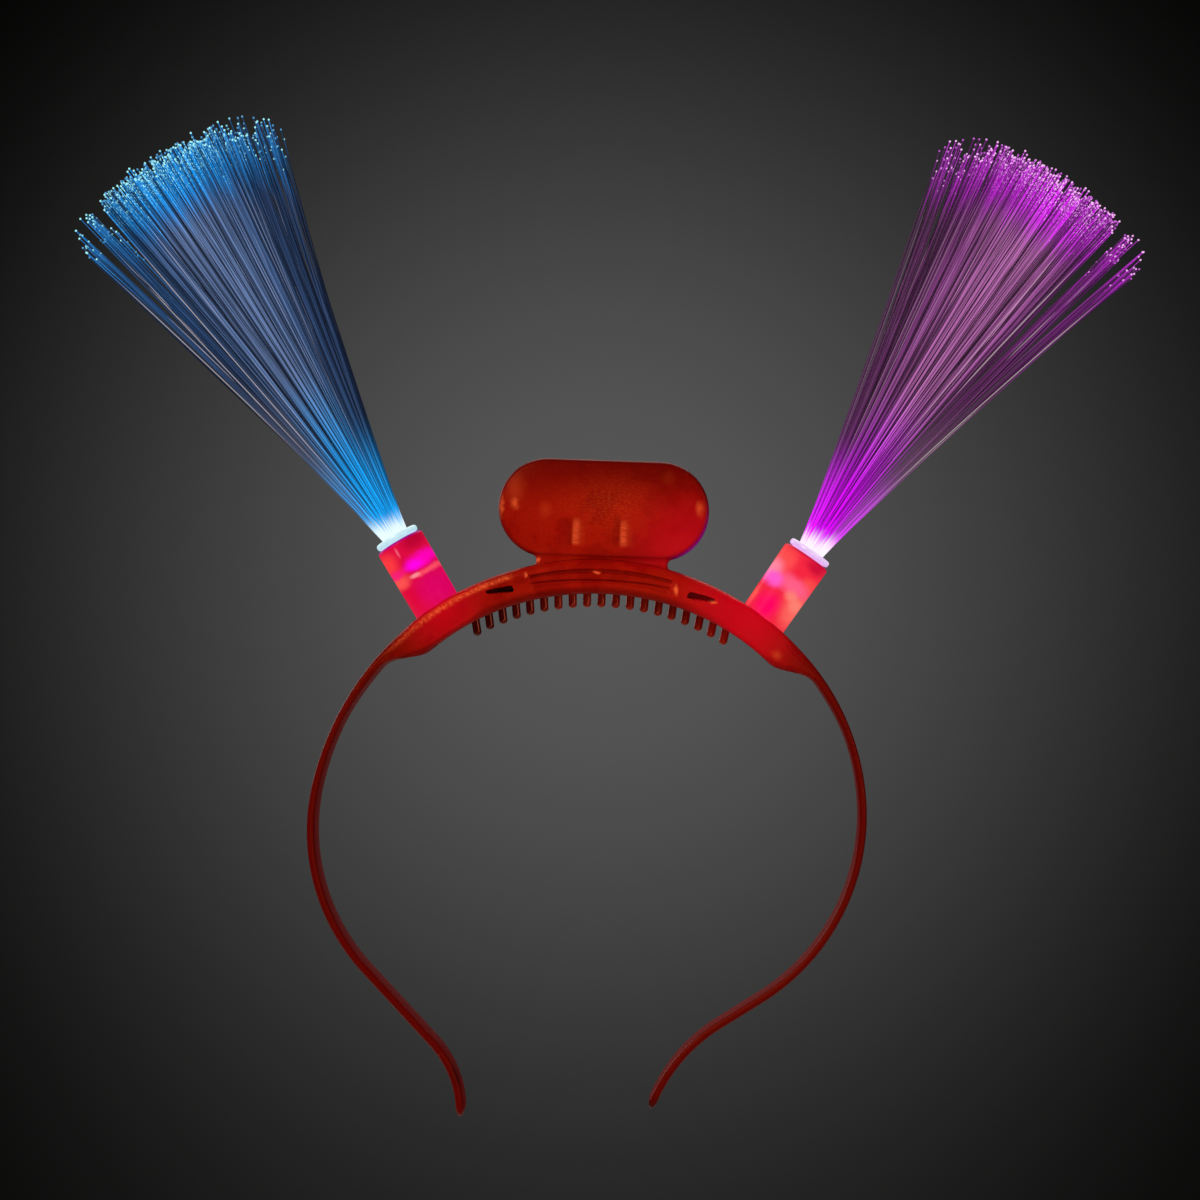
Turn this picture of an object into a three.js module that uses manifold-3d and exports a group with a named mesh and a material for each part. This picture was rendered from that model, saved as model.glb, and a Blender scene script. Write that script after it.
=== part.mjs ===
// Fiber optic headband: a red moulded band with a comb, a battery pod and two lit fiber plumes.
// Millimetres. +Z is up, +X is to the right and the front faces -Y.
// Left and right are as seen from the front.
// The origin is where the band sits on top of the head: the tip of the middle comb tooth, at mid depth.

import * as THREE from 'three';
import { mergeVertices } from 'three/addons/utils/BufferGeometryUtils.js';
import Module from 'manifold-3d';

const wasm = await Module();
wasm.setup();

// Clearance between neighbouring pieces, and how far a cutting shape runs past the face that it cuts
const GAP = 0.3;
const OVERRUN = 2;

// Band: the outer edge runs from the middle of the crown to each tip as a chain of bends.
// Positive turns bend towards the head, in degrees.
const CROWN_TOP = 12.1;
const ARM_BENDS = {
  left: [
    { length: 59.6, turn: 48 },
    { length: 40.3, turn: 31.3 },
    { length: 50.5, turn: 55.7 },
    { length: 24.9, turn: 0 },
    { length: 19.4, turn: -45 },
  ],
  right: [
    { length: 59.6, turn: 48 },
    { length: 38.4, turn: 36.4 },
    { length: 59.2, turn: 61.5 },
    { length: 12.3, turn: 0 },
    { length: 26.8, turn: -37.5 },
  ],
};
// Cross sections of the band at a distance along its outer edge from the middle of the crown
const BAND_SECTIONS = [
  { along: 0, thick: 8.6, deep: 13, corner: 2.4 },
  { along: 53, thick: 7.9, deep: 13, corner: 2.4 },
  { along: 65, thick: 2.4, deep: 11.6, corner: 1.1 },
  { along: 84, thick: 1.9, deep: 10.8, corner: 0.9 },
  { along: 190, thick: 2, deep: 10.2, corner: 0.9 },
];
const BAND_STEP = 4.5;
// Each tip is rounded over this length, and loses a share of its depth at the front and at the back
const TIP_ROUND = 2.4;
const TIP_DEPTH_SHARE = 0.25;
const TIP_STEPS = 4;
const CORNER_STEPS = 3;

// Crown: hollow from behind, with a strip let in to close it
const CROWN_WALL = 1.6;
const CROWN_HALF_HOLLOW = 50;
const COVER_THICK = 2;

// Front of the crown: two tapered slots through the wall and two shallow grooves below the pod.
// Top and bottom are depths below the outer edge.
const SLOT_ENDS = [
  { along: 23.7, top: 3.85, bottom: 5.3 },
  { along: 30.8, top: 2.75, bottom: 3.45 },
];
const GROOVE_HALF_LENGTH = 18.5;
const GROOVE_DEPTH = 0.7;
const GROOVES = [
  { top: 2.4, bottom: 3.3 },
  { top: 4.6, bottom: 5.4 },
];

// Comb: the tips lie on a circle below the crown
const COMB_TEETH = 19;
const TOOTH_PITCH = 3.33;
const TOOTH_DIAMETER = 1.95;
const TOOTH_LENGTH = 6.2;
const TOOTH_LEAN_SHARE = 0.37;
const COMB_TIP_RADIUS = 62;

// Battery pod on its neck
const POD_LENGTH = 52.8;
const POD_HEIGHT = 24.8;
const POD_DEPTH = 10;
const POD_MIDDLE = 24.55;
const POD_WALL = 1.6;
const POD_EDGE = 1.8;
const POD_COVER_THICK = 1.5;
const NECK = { length: 32.6, depth: 7.6, corner: 1.2, bottom: 8, top: 13.4 };
const RIB = { offset: 6.1, width: 1.7, depth: 3, bottom: 14.8, top: 22 };

// Lamp stalks: each leans outwards from its foot on the crown, and is built upright from there
const STALK_FOOT = { x: 41.2, z: -1.05 };
const STALK_LEAN = 32.7;
const TUBE_DIAMETER = 12;
const TUBE_WALL = 1.2;
const TUBE_LENGTH = 18.8;
const TUBE_ROUND = 0.6;
const TUBE_BELOW_FOOT = 4;
const LED = { foot: 0.8, flange: 5.8, flangeThick: 1, body: 5, height: 8.7 };
const COLLAR = { flange: 11.4, thick: 1.5, round: 0.4, sleeve: 9, bore: 7.6, sleeveLength: 5 };

// Plume: locks of fibers fan out from a plug in the collar. Tilts are from the plume's axis, in degrees.
const PLUG = { diameter: 7, length: 7, above: 0.9 };
const PLUME_RINGS = [
  { locks: 1, root: 0, tilt: 0, stagger: 0 },
  { locks: 6, root: 1, tilt: 4.5, stagger: 0.25 },
  { locks: 12, root: 1.95, tilt: 9, stagger: 0.1 },
  { locks: 18, root: 2.85, tilt: 13.5, stagger: 0.5 },
];
const LOCK = { length: 110, rootRadius: 0.45, endRadius: 2.9, ragged: 0.06, shoulder: 0.94, blunt: 0.5 };
const LOCK_LENGTH_STEP = 0.618;

// Flat sides that stand for a full turn of each round piece, and steps of the pod's half-round ends
const TUBE_SIDES = 28;
const COLLAR_SIDES = 24;
const PLUG_SIDES = 20;
const LED_SIDES = 16;
const TOOTH_SIDES = 8;
const LOCK_SIDES = 6;
const POD_END_STEPS = 7;
const NECK_CORNER_STEPS = 3;

// The two sides, and how much further out than its tube each plume leans, in degrees
const SIDES = [
  { name: 'left', sign: -1, plumeLean: 1.4 },
  { name: 'right', sign: 1, plumeLean: -0.9 },
];

const redPlastic = new THREE.MeshStandardMaterial({ color: 0x9c0d08, roughness: 0.3, metalness: 0 });
const darkRedPlastic = new THREE.MeshStandardMaterial({ color: 0x6e0806, roughness: 0.35, metalness: 0 });
const litTube = new THREE.MeshStandardMaterial({ color: 0xd80a46, roughness: 0.25, metalness: 0 });
const ledResin = new THREE.MeshStandardMaterial({ color: 0xff3cc8, roughness: 0.15, metalness: 0 });
const collarResin = new THREE.MeshStandardMaterial({ color: 0xd8ecf6, roughness: 0.2, metalness: 0 });
const fiberColour = {
  left: new THREE.MeshStandardMaterial({ color: 0x2e7fd6, roughness: 0.3, metalness: 0 }),
  right: new THREE.MeshStandardMaterial({ color: 0xa02ec8, roughness: 0.3, metalness: 0 }),
};

const radians = THREE.MathUtils.degToRad;

// A closed geometry as a solid that can be joined and cut
function solid(geometry) {
  const bare = new THREE.BufferGeometry();
  bare.setAttribute('position', geometry.getAttribute('position'));
  bare.setIndex(geometry.getIndex());
  const merged = mergeVertices(bare, 1e-4);
  const index = merged.getIndex().array;
  const triangles = [];
  for (let i = 0; i < index.length; i += 3) {
    const [a, b, c] = [index[i], index[i + 1], index[i + 2]];
    if (a !== b && b !== c && c !== a) {
      triangles.push(a, b, c);
    }
  }
  return new wasm.Manifold(new wasm.Mesh({
    numProp: 3,
    vertProperties: merged.getAttribute('position').array,
    triVerts: new Uint32Array(triangles),
  }));
}

// A named mesh from a solid
function meshOf(name, body, material) {
  const result = body.getMesh();
  const geometry = new THREE.BufferGeometry();
  geometry.setAttribute('position', new THREE.BufferAttribute(result.vertProperties, 3));
  geometry.setIndex(new THREE.BufferAttribute(result.triVerts, 1));
  geometry.computeVertexNormals();
  const mesh = new THREE.Mesh(geometry, material);
  mesh.name = name;
  return mesh;
}

// Skin through a row of rings, closed at both ends. Each ring turns right-handed about the way ahead.
function loft(rings) {
  const size = rings[0].length;
  const positions = rings.flat().flatMap((point) => point.toArray());
  const index = [];
  for (let i = 0; i + 1 < rings.length; i += 1) {
    for (let j = 0; j < size; j += 1) {
      const here = i * size + j;
      const beside = i * size + (j + 1) % size;
      index.push(here, beside, here + size);
      index.push(beside, beside + size, here + size);
    }
  }
  const last = (rings.length - 1) * size;
  for (let j = 1; j + 1 < size; j += 1) {
    index.push(0, j + 1, j);
    index.push(last, last + j, last + j + 1);
  }
  const geometry = new THREE.BufferGeometry();
  geometry.setAttribute('position', new THREE.Float32BufferAttribute(positions, 3));
  geometry.setIndex(index);
  return geometry;
}

// A turned piece about +Z from a profile of [radius, height] pairs
function turned(profile, sides) {
  const points = profile.map(([radius, height]) => new THREE.Vector2(radius, height));
  return new THREE.LatheGeometry(points, sides).rotateX(Math.PI / 2);
}

// Values from one to another in even steps, none larger than the size given
function steps(from, to, size) {
  const count = Math.ceil((to - from) / size);
  return Array.from({ length: count + 1 }, (_, i) => THREE.MathUtils.lerp(from, to, i / count));
}

// Quarter of a circle from its widest place to its pole, as [radius, height] pairs
function quarterRound(radius) {
  return steps(0, Math.PI / 2, Math.PI / 2 / CORNER_STEPS)
    .map((angle) => [radius * Math.cos(angle), radius * Math.sin(angle)]);
}

function armLength(side) {
  return ARM_BENDS[side].reduce((sum, bend) => sum + bend.length, 0);
}

// Point on the band's outer edge and the way inwards from it; negative distances run along the left arm
function edgeAt(distance) {
  const sign = distance < 0 ? -1 : 1;
  const bends = distance < 0 ? ARM_BENDS.left : ARM_BENDS.right;
  let remaining = Math.abs(distance);
  let heading = 0;
  let x = 0;
  let z = CROWN_TOP;
  for (const bend of bends) {
    const run = Math.min(remaining, bend.length);
    const turn = radians(bend.turn) * run / bend.length;
    const chord = turn === 0 ? run : 2 * run / turn * Math.sin(turn / 2);
    x += chord * Math.cos(heading + turn / 2);
    z -= chord * Math.sin(heading + turn / 2);
    heading += turn;
    remaining -= run;
  }
  return {
    point: new THREE.Vector3(sign * x, 0, z),
    inwards: new THREE.Vector3(-sign * Math.sin(heading), 0, -Math.cos(heading)),
  };
}

// Thickness, depth and corner radius of the band, eased from row to row of the table
function bandSectionAt(distance) {
  const along = Math.abs(distance);
  const last = BAND_SECTIONS.length - 1;
  let row = 0;
  while (row < last - 1 && along > BAND_SECTIONS[row + 1].along) {
    row += 1;
  }
  const from = BAND_SECTIONS[row];
  const to = BAND_SECTIONS[row + 1];
  const share = THREE.MathUtils.smoothstep(along, from.along, to.along);
  return {
    thick: THREE.MathUtils.lerp(from.thick, to.thick, share),
    deep: THREE.MathUtils.lerp(from.deep, to.deep, share),
    corner: THREE.MathUtils.lerp(from.corner, to.corner, share),
  };
}

// Rectangle across the band, rounded where it has a corner radius: top and bottom are depths below the
// outer edge, front and back are Y
function ringAcross(distance, { top, bottom, front, back, corner = 0 }) {
  const { point, inwards } = edgeAt(distance);
  const cornerSteps = corner > 0 ? CORNER_STEPS : 0;
  const middles = [
    [bottom - corner, back - corner],
    [top + corner, back - corner],
    [top + corner, front + corner],
    [bottom - corner, front + corner],
  ];
  const ring = [];
  middles.forEach(([depth, y], quarter) => {
    for (let step = 0; step <= cornerSteps; step += 1) {
      const angle = (quarter + step / CORNER_STEPS) * Math.PI / 2;
      const place = point.clone().addScaledVector(inwards, depth + corner * Math.cos(angle));
      place.y = y + corner * Math.sin(angle);
      ring.push(place);
    }
  });
  return ring;
}

// Bar that follows the band between two distances, with a section given at each one
function barAlong(from, to, sectionAt) {
  return loft(steps(from, to, BAND_STEP).map((distance) => ringAcross(distance, sectionAt(distance))));
}

// The band before it is hollowed, made larger all round by a margin
function bandBlank(margin) {
  const leftEnd = -armLength('left');
  const rightEnd = armLength('right');
  const tip = steps(0, 1, 1 / TIP_STEPS).slice(1);
  const distances = [
    ...tip.map((share) => leftEnd + TIP_ROUND * (1 - Math.cos(share * Math.PI / 2))),
    ...steps(leftEnd + TIP_ROUND, rightEnd - TIP_ROUND, BAND_STEP).slice(1, -1),
    ...tip.map((share) => rightEnd - TIP_ROUND * (1 - Math.cos(share * Math.PI / 2))).reverse(),
  ];
  const rings = distances.map((distance) => {
    const { thick, deep, corner } = bandSectionAt(distance);
    const toEnd = Math.min(distance - leftEnd, rightEnd - distance, TIP_ROUND);
    const swell = Math.sqrt(1 - (1 - toEnd / TIP_ROUND) ** 2);
    const trim = (1 - swell) * thick / 2;
    const halfDeep = deep / 2 - (1 - swell) * deep * TIP_DEPTH_SHARE;
    return ringAcross(distance, {
      top: trim - margin,
      bottom: thick - trim + margin,
      front: -halfDeep - margin,
      back: halfDeep + margin,
      corner: corner * swell + margin,
    });
  });
  return loft(rings);
}

// Straight-edged bar for cuts in the front of the crown, with its top and bottom given at each distance
function frontCut(from, to, depth, levelsAt) {
  const front = -BAND_SECTIONS[0].deep / 2;
  return barAlong(from, to, (distance) => ({
    ...levelsAt(distance),
    front: front - OVERRUN,
    back: front + depth,
  }));
}

// Top and bottom of the slots at a distance on either side of the crown's middle
function slotLevelsAt(distance) {
  const [inner, outer] = SLOT_ENDS;
  const share = (Math.abs(distance) - inner.along) / (outer.along - inner.along);
  return {
    top: THREE.MathUtils.lerp(inner.top, outer.top, share),
    bottom: THREE.MathUtils.lerp(inner.bottom, outer.bottom, share),
  };
}

// Outline with rounded corners, about a middle point
function roundedOutline(width, height, corner, middleY = 0) {
  const shape = new THREE.Shape();
  const x = width / 2 - corner;
  const y = height / 2 - corner;
  shape.absarc(x, middleY - y, corner, -Math.PI / 2, 0);
  shape.absarc(x, middleY + y, corner, 0, Math.PI / 2);
  shape.absarc(-x, middleY + y, corner, Math.PI / 2, Math.PI);
  shape.absarc(-x, middleY - y, corner, Math.PI, 1.5 * Math.PI);
  return shape;
}

// Stadium plate in the pod's outline, less a margin, between two places in Y, with an eased edge
function podPlate(margin, front, back, edge) {
  const height = POD_HEIGHT - 2 * (margin + edge);
  const width = POD_LENGTH - 2 * (margin + edge);
  const shape = roundedOutline(width, height, height / 2, POD_MIDDLE);
  const plate = new THREE.ExtrudeGeometry(shape, {
    depth: back - front - 2 * edge,
    curveSegments: POD_END_STEPS,
    bevelEnabled: edge > 0,
    bevelSize: edge,
    bevelThickness: edge,
    bevelSegments: CORNER_STEPS,
  });
  return plate.rotateX(Math.PI / 2).translate(0, back - edge, 0);
}

// Upright block with rounded corners, for the neck and the hole that it stands in
function neckBlock(margin, bottom, top) {
  const shape = roundedOutline(NECK.length + 2 * margin, NECK.depth + 2 * margin, NECK.corner + margin);
  const block = new THREE.ExtrudeGeometry(shape, {
    depth: top - bottom,
    curveSegments: NECK_CORNER_STEPS,
    bevelEnabled: false,
  });
  return block.translate(0, 0, bottom);
}

function makeHeadband() {
  const { thick, deep } = BAND_SECTIONS[0];
  const coverFront = deep / 2 - GAP - COVER_THICK;
  const hollow = barAlong(-CROWN_HALF_HOLLOW, CROWN_HALF_HOLLOW, (distance) => ({
    top: CROWN_WALL,
    bottom: bandSectionAt(distance).thick - CROWN_WALL,
    front: -deep / 2 + CROWN_WALL,
    back: deep / 2 + OVERRUN,
  }));
  const rebate = barAlong(-CROWN_HALF_HOLLOW, CROWN_HALF_HOLLOW, () => ({
    top: CROWN_WALL,
    bottom: thick + OVERRUN,
    front: coverFront - GAP,
    back: deep / 2 + OVERRUN,
  }));
  let body = solid(bandBlank(0)).subtract(solid(hollow)).subtract(solid(rebate));
  body = body.subtract(solid(neckBlock(GAP, NECK.bottom - GAP, CROWN_TOP + OVERRUN)));
  for (const groove of GROOVES) {
    const cut = frontCut(-GROOVE_HALF_LENGTH, GROOVE_HALF_LENGTH, GROOVE_DEPTH, () => groove);
    body = body.subtract(solid(cut));
  }
  const [inner, outer] = SLOT_ENDS;
  for (const [from, to] of [[-outer.along, -inner.along], [inner.along, outer.along]]) {
    body = body.subtract(solid(frontCut(from, to, CROWN_WALL + OVERRUN, slotLevelsAt)));
  }
  return meshOf('headband', body, redPlastic);
}

// One comb tooth along +Z, with its round tip at the origin
function toothBlank() {
  const radius = TOOTH_DIAMETER / 2;
  const profile = quarterRound(radius).map(([out, down]) => [out, radius - down]).reverse();
  profile.push([radius, TOOTH_LENGTH], [0, TOOTH_LENGTH]);
  return turned(profile, TOOTH_SIDES);
}

function makeCombCover() {
  const { deep } = BAND_SECTIONS[0];
  const back = deep / 2 - GAP;
  const half = CROWN_HALF_HOLLOW - GAP;
  let body = solid(barAlong(-half, half, (distance) => ({
    top: CROWN_WALL + GAP,
    bottom: bandSectionAt(distance).thick,
    front: back - COVER_THICK,
    back,
  })));
  const middle = (COMB_TEETH - 1) / 2;
  for (let i = 0; i < COMB_TEETH; i += 1) {
    const angle = radians((i - middle) * TOOTH_PITCH);
    const tooth = toothBlank().rotateY(angle * TOOTH_LEAN_SHARE);
    tooth.translate(
      COMB_TIP_RADIUS * Math.sin(angle),
      back - COVER_THICK / 2,
      COMB_TIP_RADIUS * (Math.cos(angle) - 1),
    );
    body = body.add(solid(tooth));
  }
  return meshOf('comb_cover', body, darkRedPlastic);
}

function makeBatteryPod() {
  const front = -POD_DEPTH / 2;
  const back = POD_DEPTH / 2;
  let body = solid(podPlate(0, front, back, POD_EDGE));
  body = body.subtract(solid(podPlate(POD_WALL, front + POD_WALL, back + OVERRUN, 0)));
  for (const { sign } of SIDES) {
    const rib = new THREE.BoxGeometry(RIB.width, RIB.depth, RIB.top - RIB.bottom);
    rib.translate(sign * RIB.offset, front + POD_WALL / 2 + RIB.depth / 2, (RIB.top + RIB.bottom) / 2);
    body = body.add(solid(rib));
  }
  body = body.add(solid(neckBlock(0, NECK.bottom, NECK.top)));
  return meshOf('battery_pod', body, redPlastic);
}

function makePodCover() {
  const back = POD_DEPTH / 2;
  const plate = podPlate(POD_WALL + GAP, back - POD_COVER_THICK, back, 0);
  return meshOf('pod_cover', solid(plate), redPlastic);
}

// The crown as a stalk sees it, grown by the clearance, to cut the tube's foot to fit
function crownSeenFrom(stalk) {
  stalk.updateMatrix();
  return bandBlank(GAP).applyMatrix4(stalk.matrix.clone().invert());
}

function makeTube(stalk, name) {
  const outer = TUBE_DIAMETER / 2;
  const inner = outer - TUBE_WALL;
  const profile = [
    [inner, -TUBE_BELOW_FOOT],
    [outer, -TUBE_BELOW_FOOT],
    [outer, TUBE_LENGTH - TUBE_ROUND],
    [outer - TUBE_ROUND, TUBE_LENGTH],
    [inner, TUBE_LENGTH],
    [inner, -TUBE_BELOW_FOOT],
  ];
  const body = solid(turned(profile, TUBE_SIDES)).subtract(solid(crownSeenFrom(stalk)));
  return meshOf(name, body, litTube);
}

function makeLed(name) {
  const dome = LED.body / 2;
  const domeFoot = LED.foot + LED.height - dome;
  const profile = [
    [0, LED.foot],
    [LED.flange / 2, LED.foot],
    [LED.flange / 2, LED.foot + LED.flangeThick],
    [dome, LED.foot + LED.flangeThick],
    ...quarterRound(dome).map(([out, up]) => [out, domeFoot + up]),
  ];
  return meshOf(name, solid(turned(profile, LED_SIDES)), ledResin);
}

function makeCollar(name) {
  const foot = TUBE_LENGTH + GAP;
  const head = foot + COLLAR.thick;
  const rim = COLLAR.flange / 2;
  const bore = COLLAR.bore / 2;
  const profile = [
    [bore, foot - COLLAR.sleeveLength],
    [COLLAR.sleeve / 2, foot - COLLAR.sleeveLength],
    [COLLAR.sleeve / 2, foot],
    [rim - COLLAR.round, foot],
    [rim, foot + COLLAR.round],
    [rim, head - COLLAR.round],
    [rim - COLLAR.round, head],
    [bore, head],
    [bore, foot - COLLAR.sleeveLength],
  ];
  return meshOf(name, solid(turned(profile, COLLAR_SIDES)), collarResin);
}

// One lock of fibers along +Z from its root, wider towards its blunt end
function lockBlank(length) {
  const { rootRadius, endRadius, shoulder, blunt } = LOCK;
  const profile = [
    [0, 0],
    [rootRadius, 0],
    [endRadius, length * shoulder],
    [endRadius * blunt, length],
    [0, length],
  ];
  return turned(profile, LOCK_SIDES);
}

function makePlume(name, side) {
  const head = TUBE_LENGTH + GAP + COLLAR.thick;
  const plugTop = head + PLUG.above;
  const radius = PLUG.diameter / 2;
  const profile = [[0, plugTop - PLUG.length], [radius, plugTop - PLUG.length], [radius, plugTop], [0, plugTop]];
  let body = solid(turned(profile, PLUG_SIDES));
  const up = new THREE.Vector3(0, 0, 1);
  const extraLean = new THREE.Quaternion().setFromAxisAngle(
    new THREE.Vector3(0, 1, 0),
    radians(side.sign * side.plumeLean),
  );
  let count = 0;
  for (const ring of PLUME_RINGS) {
    for (let i = 0; i < ring.locks; i += 1) {
      const around = (i + ring.stagger) / ring.locks * 2 * Math.PI;
      const tilt = radians(ring.tilt);
      const outwards = new THREE.Vector3(side.sign * Math.cos(around), Math.sin(around), 0);
      const along = up.clone().multiplyScalar(Math.cos(tilt)).addScaledVector(outwards, Math.sin(tilt));
      along.applyQuaternion(extraLean);
      const shortening = LOCK.ragged * (count * LOCK_LENGTH_STEP % 1);
      const lock = lockBlank(LOCK.length * (1 - shortening));
      lock.applyQuaternion(new THREE.Quaternion().setFromUnitVectors(up, along));
      lock.translate(outwards.x * ring.root, outwards.y * ring.root, head - PLUG.above);
      body = body.add(solid(lock));
      count += 1;
    }
  }
  return meshOf(name, body, fiberColour[side.name]);
}

// Tube, lamp, collar and plume of one side, standing on the crown
function makeStalk(side) {
  const stalk = new THREE.Group();
  stalk.position.set(side.sign * STALK_FOOT.x, 0, STALK_FOOT.z);
  stalk.rotation.y = radians(side.sign * STALK_LEAN);
  stalk.add(makeTube(stalk, `led_tube_${side.name}`));
  stalk.add(makeLed(`led_${side.name}`));
  stalk.add(makeCollar(`fiber_collar_${side.name}`));
  stalk.add(makePlume(`fiber_plume_${side.name}`, side));
  return stalk;
}

const group = new THREE.Group();
group.add(makeHeadband(), makeCombCover(), makeBatteryPod(), makePodCover());
for (const side of SIDES) {
  group.add(makeStalk(side));
}

export default group;
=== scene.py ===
"""Fiber optic headband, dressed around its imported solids.

A red moulded band with a comb under its crown and a battery pod on top carries two lit tubes,
and each tube holds a collar with a plume of glowing optical fibers.
Metres. +Z is up, +X is to the right and the front faces -Y. Left and right are as seen from the front.
"""

import math

import bmesh
import bpy
from bpy.props import FloatProperty, FloatVectorProperty, IntProperty, PointerProperty
from bpy.types import Operator, Panel, PropertyGroup
from mathutils import Matrix, Vector


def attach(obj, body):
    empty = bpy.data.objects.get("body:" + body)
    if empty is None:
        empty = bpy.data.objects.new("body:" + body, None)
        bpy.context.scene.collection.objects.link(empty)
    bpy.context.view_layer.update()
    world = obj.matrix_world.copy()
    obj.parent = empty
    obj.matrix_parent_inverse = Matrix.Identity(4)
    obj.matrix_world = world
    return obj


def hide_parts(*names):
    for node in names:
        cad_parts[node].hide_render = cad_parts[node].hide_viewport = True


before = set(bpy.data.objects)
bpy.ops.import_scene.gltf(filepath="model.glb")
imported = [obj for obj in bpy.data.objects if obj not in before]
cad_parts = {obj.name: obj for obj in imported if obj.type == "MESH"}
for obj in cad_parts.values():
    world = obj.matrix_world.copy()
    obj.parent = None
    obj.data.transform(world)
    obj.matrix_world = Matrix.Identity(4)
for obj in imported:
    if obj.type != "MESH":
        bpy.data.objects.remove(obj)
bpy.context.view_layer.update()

bl_info = {
    "name": "Fiber Optic Headband",
    "version": (1, 0, 0),
    "blender": (4, 5, 0),
    "location": "View3D > Sidebar > Headband",
    "description": "Builds a lit fiber optic headband, its finishes and its studio",
    "category": "Object",
}

MM = 0.001
BODY = "root"
GOLDEN_ANGLE = math.pi * (3 - math.sqrt(5))
BLACK = (0.0, 0.0, 0.0)

# How far each colour of light scatters in the red plastic
RED_SCATTER = (1.0, 0.15, 0.08)

# Inputs of the shader groups for soft patches and for strands
PATCH_INPUTS = ("Along", "Across", "Middle Along", "Middle Across", "Reach Along", "Reach Across",
                "Strength", "Plateau")
STRAND_VALUES = ("Reach", "Outwards", "Across", "Strand", "Glitter")
STRAND_TONES = ("Root", "Throat", "Middle", "Shell", "Tip", "Bead", "Streak")

# Fineness of the meshes: points along strands and teeth, sides of tubes, and steps over corners and fronts
STRAND_POINTS, STRAND_SIDES = 9, 5
TOOTH_POINTS, TOOTH_SIDES = 25, 20
TURNED_SIDES = 64
CORNER_STEPS, TIP_STEPS, FRONT_STEPS, SWEEP_STEPS = 6, 8, 40, 24

# Distance between the sections of bars along the band, and how far cuts run past the surface
BAR_STEP, OVERRUN = 1.5 * MM, 2 * MM

# Half height of the innermost rings of the pod's front and of its cover
POD_CORE = 0.8 * MM

# Edges that turn by more than this stay sharp, and points closer than this are merged
SHARP_ANGLE, MERGE_DISTANCE = math.radians(38), 1e-7

# What a bead stores as its reach, just past the strand's own end at 1
BEAD_REACH = 1.05


def mm(*sizes):
    """Sizes given in millimetres, in metres."""
    return tuple(size * MM for size in sizes)


# The two sides: sign of X, how much further than its tube the plume leans, in degrees, and the share of the
# inner shortening that its strands get
SIDES = {"left": (-1, 1.4, 0.2), "right": (1, -0.9, 1.0)}

# Bends of the band's outer edge from the middle of the crown to each tip: length, turn in degrees.
# Positive turns bend towards the head.
ARM_BENDS = {
    "left": ((59.6 * MM, 48.0), (40.3 * MM, 31.3), (50.5 * MM, 55.7), (24.9 * MM, 0.0), (19.4 * MM, -45.0)),
    "right": ((59.6 * MM, 48.0), (38.4 * MM, 36.4), (59.2 * MM, 61.5), (12.3 * MM, 0.0), (26.8 * MM, -37.5)),
}

# Cross sections of the band: distance along the outer edge, thickness, depth and corner radius
BAND_SECTIONS = (
    mm(0.0, 8.6, 13.0, 2.4),
    mm(53.0, 7.9, 13.0, 2.4),
    mm(65.0, 2.4, 11.6, 1.1),
    mm(84.0, 1.9, 10.8, 0.9),
    mm(190.0, 2.0, 10.2, 0.9),
)

# Inner and outer ends of the slots in the crown's front: distance from the middle of the crown,
# and depths of the slot's top and bottom below the outer edge
SLOT_ENDS = (mm(23.7, 3.85, 5.3), mm(30.8, 2.75, 3.45))

# Grooves in the panel below the pod: depth below the crown's outer edge at the middle of the crown,
# how far they rise towards the panel's ends, and width
GROOVES = (mm(3.15, 0.35, 1.0), mm(5.35, 0.9, 0.55))

# Painted highlights on the front of the pod, the neck and the crown: height, place across, reach up and
# across, strength
PAINTED_HIGHLIGHTS = (
    (*mm(25.4, -22.2, 2.4, 1.7), 0.68),
    (*mm(29.0, -22.2, 6.5, 3.4), 0.22),
    (*mm(24.6, -25.6, 5.4, 0.9), 0.8),
    (*mm(23.9, -14.5, 3.4, 2.6), 0.18),
    (*mm(25.4, 24.1, 2.8, 1.4), 0.56),
    (*mm(33.0, 15.5, 2.6, 2.6), 0.09),
    (*mm(11.5, -16.0, 1.2, 1.0), 1.0),
    (*mm(8.7, -1.0, 0.6, 1.4), 1.0),
    (*mm(7.4, -18.8, 1.1, 0.7), 0.9),
    (*mm(5.1, 18.8, 1.9, 1.0), 1.0),
    (*mm(2.4, 28.1, 0.6, 1.5), 1.0),
    (*mm(-10.3, 44.5, 1.8, 2.0), 0.34),
    (*mm(6.3, -23.5, 0.8, 1.6), 0.8),
    (*mm(4.2, -29.4, 0.9, 2.0), 0.8),
)

# Left edges of the two ribs that show through the pod's front, whose gleam and shadows are painted
RIB_EDGES = mm(-7.5, 4.4)

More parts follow.
